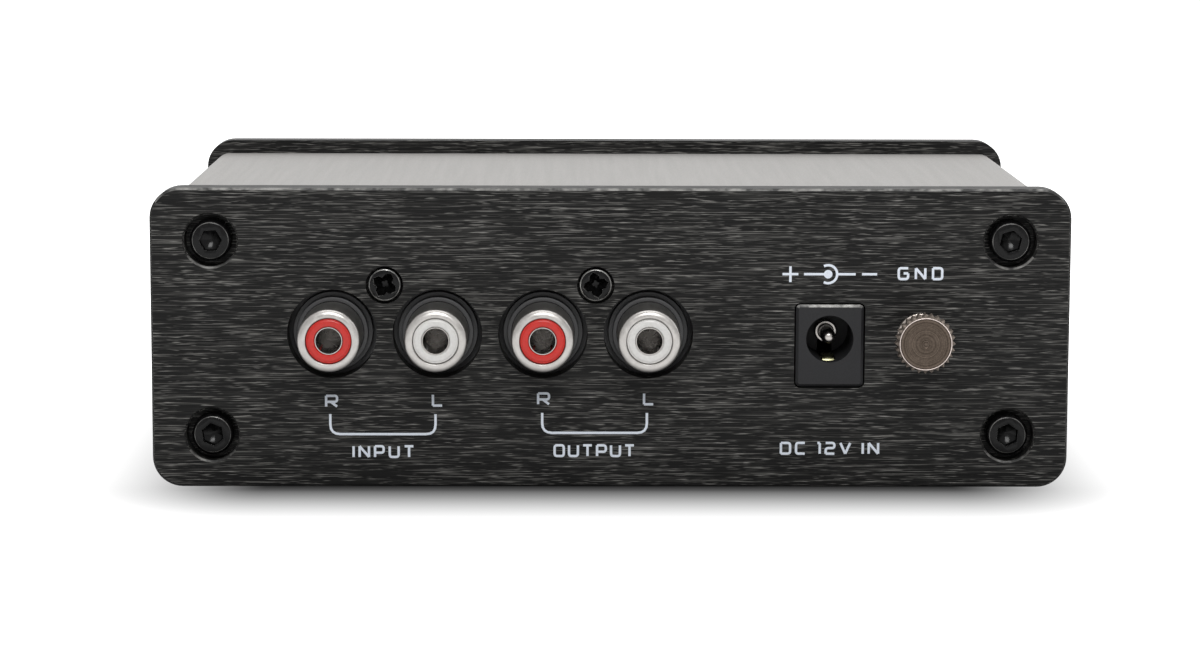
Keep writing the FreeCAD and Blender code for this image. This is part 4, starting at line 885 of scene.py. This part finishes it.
def makeThumbScrew():
    low, high = boxOf("ground_thumb_screw")
    centre = midLine(low, high)
    front, back = low.y, low.y + thumbScrew["headLength"]
    tip, valley, face = thumbScrew["tip"], thumbScrew["valley"], thumbScrew["face"]
    neck, neckEnd = thumbScrew["neck"], thumbScrew["neckEnd"]
    shaft, chamfer = thumbScrew["thread"]["radius"], thumbScrew["pointChamfer"]
    inside, behind = thumbScrew["backChamfer"]
    rings = [(shaft - chamfer, high.y), (shaft, high.y - chamfer)]
    rings += threadRings(high.y - thumbScrew["threadStart"], -1, **thumbScrew["thread"])
    rings += [(shaft, neckEnd), (neck, neckEnd), (neck, back), (face - inside, back),
              (tip, back - behind), (tip, front + thumbScrew["frontChamfer"])]
    rings += edgeRings(face, front, thumbScrew["rim"])
    rings += [(radius, front + depth) for radius, depth in thumbScrew["dimple"]]
    screw = turnPiece("groundThumbScrew", centre, rings, sides=thumbScrew["teeth"] * 4)
    openEdit(screw, "VERT")
    middlePoint = Vector((centre[0], 0, centre[1])) * mm
    step = 2 * math.pi / (thumbScrew["teeth"] * 4)

    def phase(vert):  # 0 on a tooth, 2 in a valley, -1 away from the teeth
        away = vert.co - middlePoint
        if abs(math.hypot(away.x, away.z) / mm - tip) > thumbScrew["tipBand"]:
            return -1
        return round(math.atan2(away.z, away.x) / step) % 4

    # the valleys come in, and their neighbours half way
    phases = {vert.index: phase(vert) for vert in bmesh.from_edit_mesh(screw.data).verts}
    for wanted, radius in (((2,), valley), ((1, 3), (tip + valley) / 2 - thumbScrew["flank"])):
        selectWhere(screw, lambda vert: phases.get(vert.index) in wanted, "verts")
        share = radius / tip
        bpy.ops.transform.resize(value=(share, 1, share), center_override=middlePoint)
    closeEdit(screw, merge=False)
    dress(screw, finishes["groundMetal"], body="ground_screw",
          stands=("ground_thumb_screw",), angle=20)
    # painted highlight: a bright ring on the rim of the face
    rimFrom, rimTo = face - thumbScrew["rimInside"], face + thumbScrew["rimOutside"]
    tipped(screw, finishes["paintedRimHighlight"], lambda spot, part: spot.y < front + thumbScrew["rimDepth"]
           and rimFrom < outFrom(spot, centre) < rimTo)
    tipped(screw, finishes["toothMetal"], lambda spot, part: front + thumbScrew["teethFrom"] < spot.y < back
           and face < outFrom(spot, centre))


makeThumbScrew()

groundWasher = {"hole": 2.2, "backEdge": 0.1, "rim": ((0, 0.16), (0.05, 0.05), (0.16, 0)),
                "mouth": ((-0.12, 0), (0, 0.12))}


def makeGroundWasher():
    low, high = boxOf("ground_washer")
    r, hole, edge = (high.x - low.x) / 2, groundWasher["hole"], groundWasher["backEdge"]
    rings = [(hole, high.y), (r - edge, high.y), (r, high.y - edge)]
    rings += edgeRings(r, low.y, groundWasher["rim"]) + edgeRings(hole, low.y, groundWasher["mouth"])
    rings.append((hole, high.y))
    dress(turnPiece("groundWasher", midLine(low, high), rings, solid=False), finishes["washerMetal"],
          body="ground_washer", stands=("ground_washer",))


makeGroundWasher()
print("ground terminal made")

powerButton = {
    "radius": 4.9, "flangeDepth": 0.8, "flangeEdge": ((0.1, 0), (0, 0.1), (0, 0.7), (0.1, 0.8)),
    # groove, rounded rim and dished middle
    "face": ((0, 0.9), (0.06, 0.86), (0.06, 0.74), (0, 0.7), (0, 0.45), (0.13, 0.16), (0.42, 0.02),
             (0.62, 0), (0.85, 0.03), (1.6, 0.2), (2.8, 0.36), (4.2, 0.43), (4.7, 0.44)),
}


def makePowerButton():
    low, high = boxOf("power_button")
    r = powerButton["radius"]
    rings = edgeRings((high.x - low.x) / 2, low.y, powerButton["flangeEdge"])
    rings.append((r, low.y + powerButton["flangeDepth"]))
    rings += edgeRings(r, high.y, powerButton["face"], -1)
    dress(turnPiece("powerButton", midLine(low, high), rings, sides=96), finishes["buttonCap"],
          body="power_button", stands=("power_button",))


powerLight = {
    "radius": 1.5, "flange": 1.9, "flangeBack": 33.35, "flangeFront": 34.25,
    "dome": ((0, 1.4), (0.06, 0.95), (0.2, 0.6), (0.5, 0.25), (0.9, 0.06), (1.35, 0)),
    "holderHole": 1.55, "holderEnd": 2.3, "holderBarb": 2.35, "barbAt": 41.9, "rimFrom": 42.02,
    "holderRim": ((0, 0.3), (0.08, 0.12), (0.28, 0.01), (0.5, 0)),
    "holderMouth": ((-0.35, 0.12), (-0.1, 0.35), (0, 0.7)),
}


def makePowerLight():
    low, high = boxOf("power_light")
    centre = ((low.x + high.x) / 2, middle("light_holder").z)
    r, flange, seat = powerLight["radius"], powerLight["flange"], powerLight["flangeFront"]
    rings = [(flange, powerLight["flangeBack"]), (flange, seat), (r, seat)]
    lens = turnPiece("powerLight", centre, rings + edgeRings(r, high.y, powerLight["dome"], -1), sides=48)
    low, high = boxOf("light_holder")
    outer, hole = (high.x - low.x) / 2, powerLight["holderHole"]
    barb, rimFrom = powerLight["holderBarb"], powerLight["rimFrom"]
    rings = [(hole, low.y), (powerLight["holderEnd"], low.y), (barb, powerLight["barbAt"]),
             (barb, rimFrom), (outer, rimFrom)]
    rings += edgeRings(outer, high.y, powerLight["holderRim"], -1)
    rings += edgeRings(hole, high.y, powerLight["holderMouth"], -1) + [(hole, low.y)]
    holder = turnPiece("lightHolder", centre, rings, solid=False)
    dress(holder, finishes["blackPlastic"], stands=("light_holder",))
    dress(lens, finishes["lightLens"], stands=("power_light",))


makePowerButton()
makePowerLight()

rubberFoot = {
    "radius": 5.0, "topEdge": ((0.3, 0), (0.05, 0.25)),
    # in from the side, and height over the table: a groove, the rounded sole and its hollow
    "side": ((0, 1.9), (0.07, 1.8), (0.07, 1.66), (0, 1.56), (0, 0.55), (0.14, 0.2), (0.45, 0.02), (0.8, 0),
             (1.8, 0), (2.0, 0.06), (2.15, 0.35), (2.3, 0.5), (3.8, 0.55), (4.7, 0.56)),
}


def makeFeet():
    low, high = boxOf("rubber_foot_1")
    r = rubberFoot["radius"]
    rings = edgeRings(r, high.z, rubberFoot["topEdge"], -1) + edgeRings(r, 0, rubberFoot["side"])
    feet = [turnPiece("rubberFoot1", ((low.x + high.x) / 2, (low.y + high.y) / 2), rings, axis="Z")]
    for n in range(2, 5):
        shift = middle(f"rubber_foot_{n}") - middle("rubber_foot_1")
        feet.append(copied(feet[0], f"rubberFoot{n}", shift))
    for n, foot in enumerate(feet, start=1):
        dress(foot, finishes["footRubber"], stands=(f"rubber_foot_{n}",))


makeFeet()
print("front and feet made")

# Heights of the print are read from the panel's lower edge, which lies at base
lettering = {"stroke": 0.33, "relief": 0.025, "sunk": 0.004, "height": 1.78, "corner": 0.24, "wordGap": 0.42,
             "base": 0.8}

# each letter: width as a share of its height, then strokes of points; a True rounds that point
glyphs = {
    "R": (1.0, [[(0, 0), (0, 1), (1, 1, True), (1, 0.44, True), (0, 0.44)], [(0.42, 0.44), (1, 0)]]),
    "L": (0.84, [[(0, 1), (0, 0), (1, 0)]]),
    "I": (0.0, [[(0, 0), (0, 1)]]),
    "N": (0.86, [[(0, 0), (0, 1), (1, 0), (1, 1)]]),
    "P": (0.80, [[(0, 0), (0, 1), (1, 1, True), (1, 0.4, True), (0, 0.4)]]),
    "U": (0.82, [[(0, 1), (0, 0, True), (1, 0, True), (1, 1)]]),
    "T": (0.80, [[(0, 1), (1, 1)], [(0.5, 1), (0.5, 0)]]),
    "O": (0.84, [[(0.5, 1), (1, 1, True), (1, 0, True), (0, 0, True), (0, 1, True), (0.5, 1)]]),
    "G": (0.86, [[(1, 1), (0, 1, True), (0, 0, True), (1, 0, True), (1, 0.52), (0.52, 0.52)]]),
    "D": (0.84, [[(0, 0), (0, 1), (1, 1, True), (1, 0, True), (0, 0)]]),
    "C": (0.80, [[(1, 1), (0, 1, True), (0, 0, True), (1, 0)]]),
    "1": (0.22, [[(0, 1), (1, 1), (1, 0)]]),
    "2": (0.80, [[(0, 1), (1, 1, True), (1, 0.52, True), (0, 0.52, True), (0, 0), (1, 0)]]),
    "V": (0.90, [[(0, 1), (0.5, 0), (1, 1)]]),
}

# words as (letters, left, right, bottom), and the bracket under a pair as (left, right, bottom, top)
prints = {
    "printInput": ((("INPUT", -34.4, -26.1, 3.85), ("R", -38.0, -36.1, 10.65), ("L", -23.8, -22.05, 10.8)),
                   (-37.3, -23.3, 7.1, 9.8)),
    "printOutput": ((("OUTPUT", -7.6, 3.3, 4.0), ("R", -9.8, -7.9, 11.0), ("L", 4.3, 6.05, 11.0)),
                    (-9.1, 4.85, 7.3, 10.0)),
    "printPower": ((("DC 12V IN", 22.6, 35.9, 4.35),), None),
    "printGround": ((("GND", 38.0, 44.1, 27.85),), None),
}
bracketCorner = 1.3

# The sign of the power socket's poles: lines from left to right, and an open ring about a dot
polarity = {
    "height": 28.65, "plus": (22.75, 23.8, 24.85), "lines": ((25.6, 28.6), (30.0, 32.45), (33.3, 35.3)),
    "ringAt": 28.8, "ringRadius": 1.2, "ringEnd": 118, "ringSteps": 28,
    "dotEdge": ((0, 0.005), (0, -0.012), (0.03, -0.017)), "dotRadius": 0.57,
}


def parted(points):  # a stroke ends at each of its sharp corners
    parts = [[points[0]]]
    for n, point in enumerate(points[1:], start=1):
        parts[-1].append(point)
        if n < len(points) - 1 and len(point) < 3:
            parts.append([point])
    return parts


def rounded(points, radius):
    path = []
    for n, point in enumerate(points):
        here = Vector(point[:2])
        if len(point) < 3 or n in (0, len(points) - 1):
            path.append(here)
            continue
        before, after = Vector(points[n - 1][:2]), Vector(points[n + 1][:2])
        start = here + (before - here).normalized() * radius
        end = here + (after - here).normalized() * radius
        for step in range(5):
            share = step / 4
            path.append(start * (1 - share) ** 2 + here * 2 * share * (1 - share) + end * share ** 2)
    return path


def printPaths(name, paths):
    curve = bpy.data.curves.new(name, "CURVE")
    curve.dimensions = "3D"
    curve.bevel_depth = lettering["stroke"] / 2 * mm
    curve.bevel_resolution = 2
    curve.use_fill_caps = True
    for path in paths:
        spline = curve.splines.new("POLY")
        spline.points.add(len(path) - 1)
        for point, (x, z) in zip(spline.points, path):
            point.co = (x * mm, 0, (z + lettering["base"]) * mm, 1)
    piece = bpy.data.objects.new(name, curve)
    bpy.context.collection.objects.link(piece)
    pickOnly(piece)
    bpy.ops.object.convert(target="MESH")
    piece = bpy.context.object
    piece.scale = (1, lettering["relief"] / lettering["stroke"], 1)
    piece.location = (0, (boxOf("connector_panel")[0].y - lettering["sunk"]) * mm, 0)
    dress(settle(piece, name), finishes["panelInk"])


def wordPaths(word, left, right, bottom):
    stroke = lettering["stroke"]
    tall = lettering["height"] - stroke
    widths = [lettering["wordGap"] if letter == " " else glyphs[letter][0] * tall for letter in word]
    spare = (right - left) - sum(widths) - stroke * sum(letter != " " for letter in word)
    gap = spare / (len(word) - 1) if len(word) > 1 else 0
    paths, across = [], left
    for letter, wide in zip(word, widths):
        if letter != " ":
            for points in glyphs[letter][1]:
                placed = [(across + stroke / 2 + p[0] * wide, bottom + stroke / 2 + p[1] * tall, *p[2:])
                          for p in points]
                paths += [rounded(part, lettering["corner"] * tall) for part in parted(placed)]
            across += stroke
        across += wide + gap
    return paths


def makePolarity():
    high, (left, plusAt, right) = polarity["height"], polarity["plus"]
    half, ringAt, radius = (right - left) / 2, polarity["ringAt"], polarity["ringRadius"]
    end, steps = polarity["ringEnd"], polarity["ringSteps"]
    ring = [(ringAt + radius * math.cos(a), high + radius * math.sin(a))
            for a in (math.radians(end - n * 2 * end / steps) for n in range(steps + 1))]
    first, *others = [[(a, high), (b, high)] for a, b in polarity["lines"]]
    plus = [[(left, high), (right, high)], [(plusAt, high - half), (plusAt, high + half)]]
    printPaths("printPolarity", [[Vector(p) for p in path] for path in (*plus, first, ring, *others)])
    dotRings = edgeRings(polarity["dotRadius"], boxOf("connector_panel")[0].y, polarity["dotEdge"])
    dot = turnPiece("printDot", (ringAt, high + lettering["base"]), dotRings, sides=32)
    dress(dot, finishes["panelInk"])


for name, (words, bracket) in prints.items():
    paths = [path for word in words for path in wordPaths(*word)]
    if bracket:
        left, right, bottom, top = bracket
        paths.append(rounded([(left, top), (left, bottom, True), (right, bottom, True), (right, top)],
                             bracketCorner))
    printPaths(name, paths)
makePolarity()
print("print made")

# Places and sizes of the studio are in metres; a lamp is (place, size, power). Near the footprint the floor's
# colour darkens and its white glow fades: a painted shadow
studio = {
    "worldLevel": 0.28, "floorSize": 14, "floorPlace": (0, 3, 0), "floorColour": 0.8, "paintedShadowColour": 0.05,
    "paintedShadowFrom": 0.015, "paintedShadowTo": 0.05, "footprint": (0.046, 0.0335, 0), "shadeFrom": -0.003,
    "shadeTo": 0.027,
    "aim": (0, 0, 0.02), "keyLamp": ((0.04, -0.72, 0.6), (0.34, 0.26), 4.6),
    "topLamp": ((0.0, 0.06, 0.85), (0.8, 0.5), 2.8), "sideLamp": ((0.8, 0.1, 0.4), (0.4, 0.5), 1.2),
}


def seenMask(tree):  # 1 where the camera, a gloss or a clear body looks
    path = addNode(tree, "LightPath")
    first = addNode(tree, "Math", operation="MAXIMUM")
    second = addNode(tree, "Math", operation="MAXIMUM")
    tree.links.new(path.outputs["Is Camera Ray"], first.inputs[0])
    tree.links.new(path.outputs["Is Glossy Ray"], first.inputs[1])
    tree.links.new(first.outputs[0], second.inputs[0])
    tree.links.new(path.outputs["Is Transmission Ray"], second.inputs[1])
    return second.outputs[0]


def makeWorld():
    world = bpy.data.worlds.new("studio")
    bpy.context.scene.world = world
    world.use_nodes = True
    tree = world.node_tree
    back = tree.nodes["Background"]
    back.inputs["Color"].default_value = (1, 1, 1, 1)
    level = addNode(tree, "MapRange")
    level.inputs["To Min"].default_value = studio["worldLevel"]
    level.inputs["To Max"].default_value = 1.0
    tree.links.new(seenMask(tree), level.inputs["Value"])
    tree.links.new(level.outputs["Result"], back.inputs["Strength"])


def makeFloor():
    restObject()
    bpy.ops.mesh.primitive_plane_add(size=studio["floorSize"], location=studio["floorPlace"])
    floor = settle(bpy.context.object, "floor")
    material = bpy.data.materials.new("studioFloor")
    material.use_nodes = True
    tree = material.node_tree
    shader = tree.nodes["Principled BSDF"]
    # painted shadow: the floor's colour darkens towards the footprint
    pale, foot = studio["floorColour"], studio["paintedShadowColour"]
    shader.inputs["Roughness"].default_value = 0.9
    shader.inputs["Specular IOR Level"].default_value = 0.1
    place = addNode(tree, "TexCoord")
    side = addNode(tree, "VectorMath", operation="ABSOLUTE")  # how far a spot lies outside the footprint
    past = addNode(tree, "VectorMath", operation="SUBTRACT")
    past.inputs[1].default_value = studio["footprint"]
    out = addNode(tree, "VectorMath", operation="MAXIMUM")
    reach = addNode(tree, "VectorMath", operation="LENGTH")
    shade = addNode(tree, "MapRange", interpolation_type="SMOOTHERSTEP")
    shade.inputs["From Min"].default_value = studio["paintedShadowFrom"]
    shade.inputs["From Max"].default_value = studio["paintedShadowTo"]
    tone = addNode(tree, "Mix", data_type="RGBA")
    tone.inputs[6].default_value = (foot, foot, foot, 1)
    tone.inputs[7].default_value = (pale, pale, pale, 1)
    # painted shadow: the white glow that the camera and glosses see fades out near the footprint
    glow = addNode(tree, "MapRange", interpolation_type="SMOOTHSTEP")
    glow.inputs["From Min"].default_value = studio["shadeFrom"]
    glow.inputs["From Max"].default_value = studio["shadeTo"]
    masked = addNode(tree, "Math", operation="MULTIPLY")
    shine = addNode(tree, "Emission")
    both = addNode(tree, "AddShader")
    for a, b in ((place.outputs["Object"], side.inputs[0]), (side.outputs[0], past.inputs[0]),
                 (past.outputs[0], out.inputs[0]), (out.outputs[0], reach.inputs[0]),
                 (reach.outputs["Value"], shade.inputs["Value"]), (shade.outputs["Result"], tone.inputs[0]),
                 (tone.outputs[2], shader.inputs["Base Color"]),
                 (reach.outputs["Value"], glow.inputs["Value"]), (glow.outputs["Result"], masked.inputs[0]),
                 (seenMask(tree), masked.inputs[1]), (masked.outputs[0], shine.inputs["Strength"]),
                 (shader.outputs[0], both.inputs[0]), (shine.outputs[0], both.inputs[1]),
                 (both.outputs[0], tree.nodes["Material Output"].inputs["Surface"])):
        tree.links.new(a, b)
    floor.data.materials.append(material)


def makeLamp(name):
    place, size, power = studio[name]
    light = bpy.data.lights.new(name, "AREA")
    light.shape = "RECTANGLE"
    light.size, light.size_y = size
    light.energy = power
    lamp = bpy.data.objects.new(name, light)
    aim = Vector(studio["aim"]) - Vector(place)
    lamp.matrix_world = Matrix.Translation(Vector(place)) @ aim.to_track_quat("-Z", "Y").to_matrix().to_4x4()
    bpy.context.collection.objects.link(lamp)


makeWorld()
makeFloor()
for name in ("keyLamp", "topLamp", "sideLamp"):
    makeLamp(name)
bpy.context.scene.view_settings.view_transform = "Standard"
print("studio made")
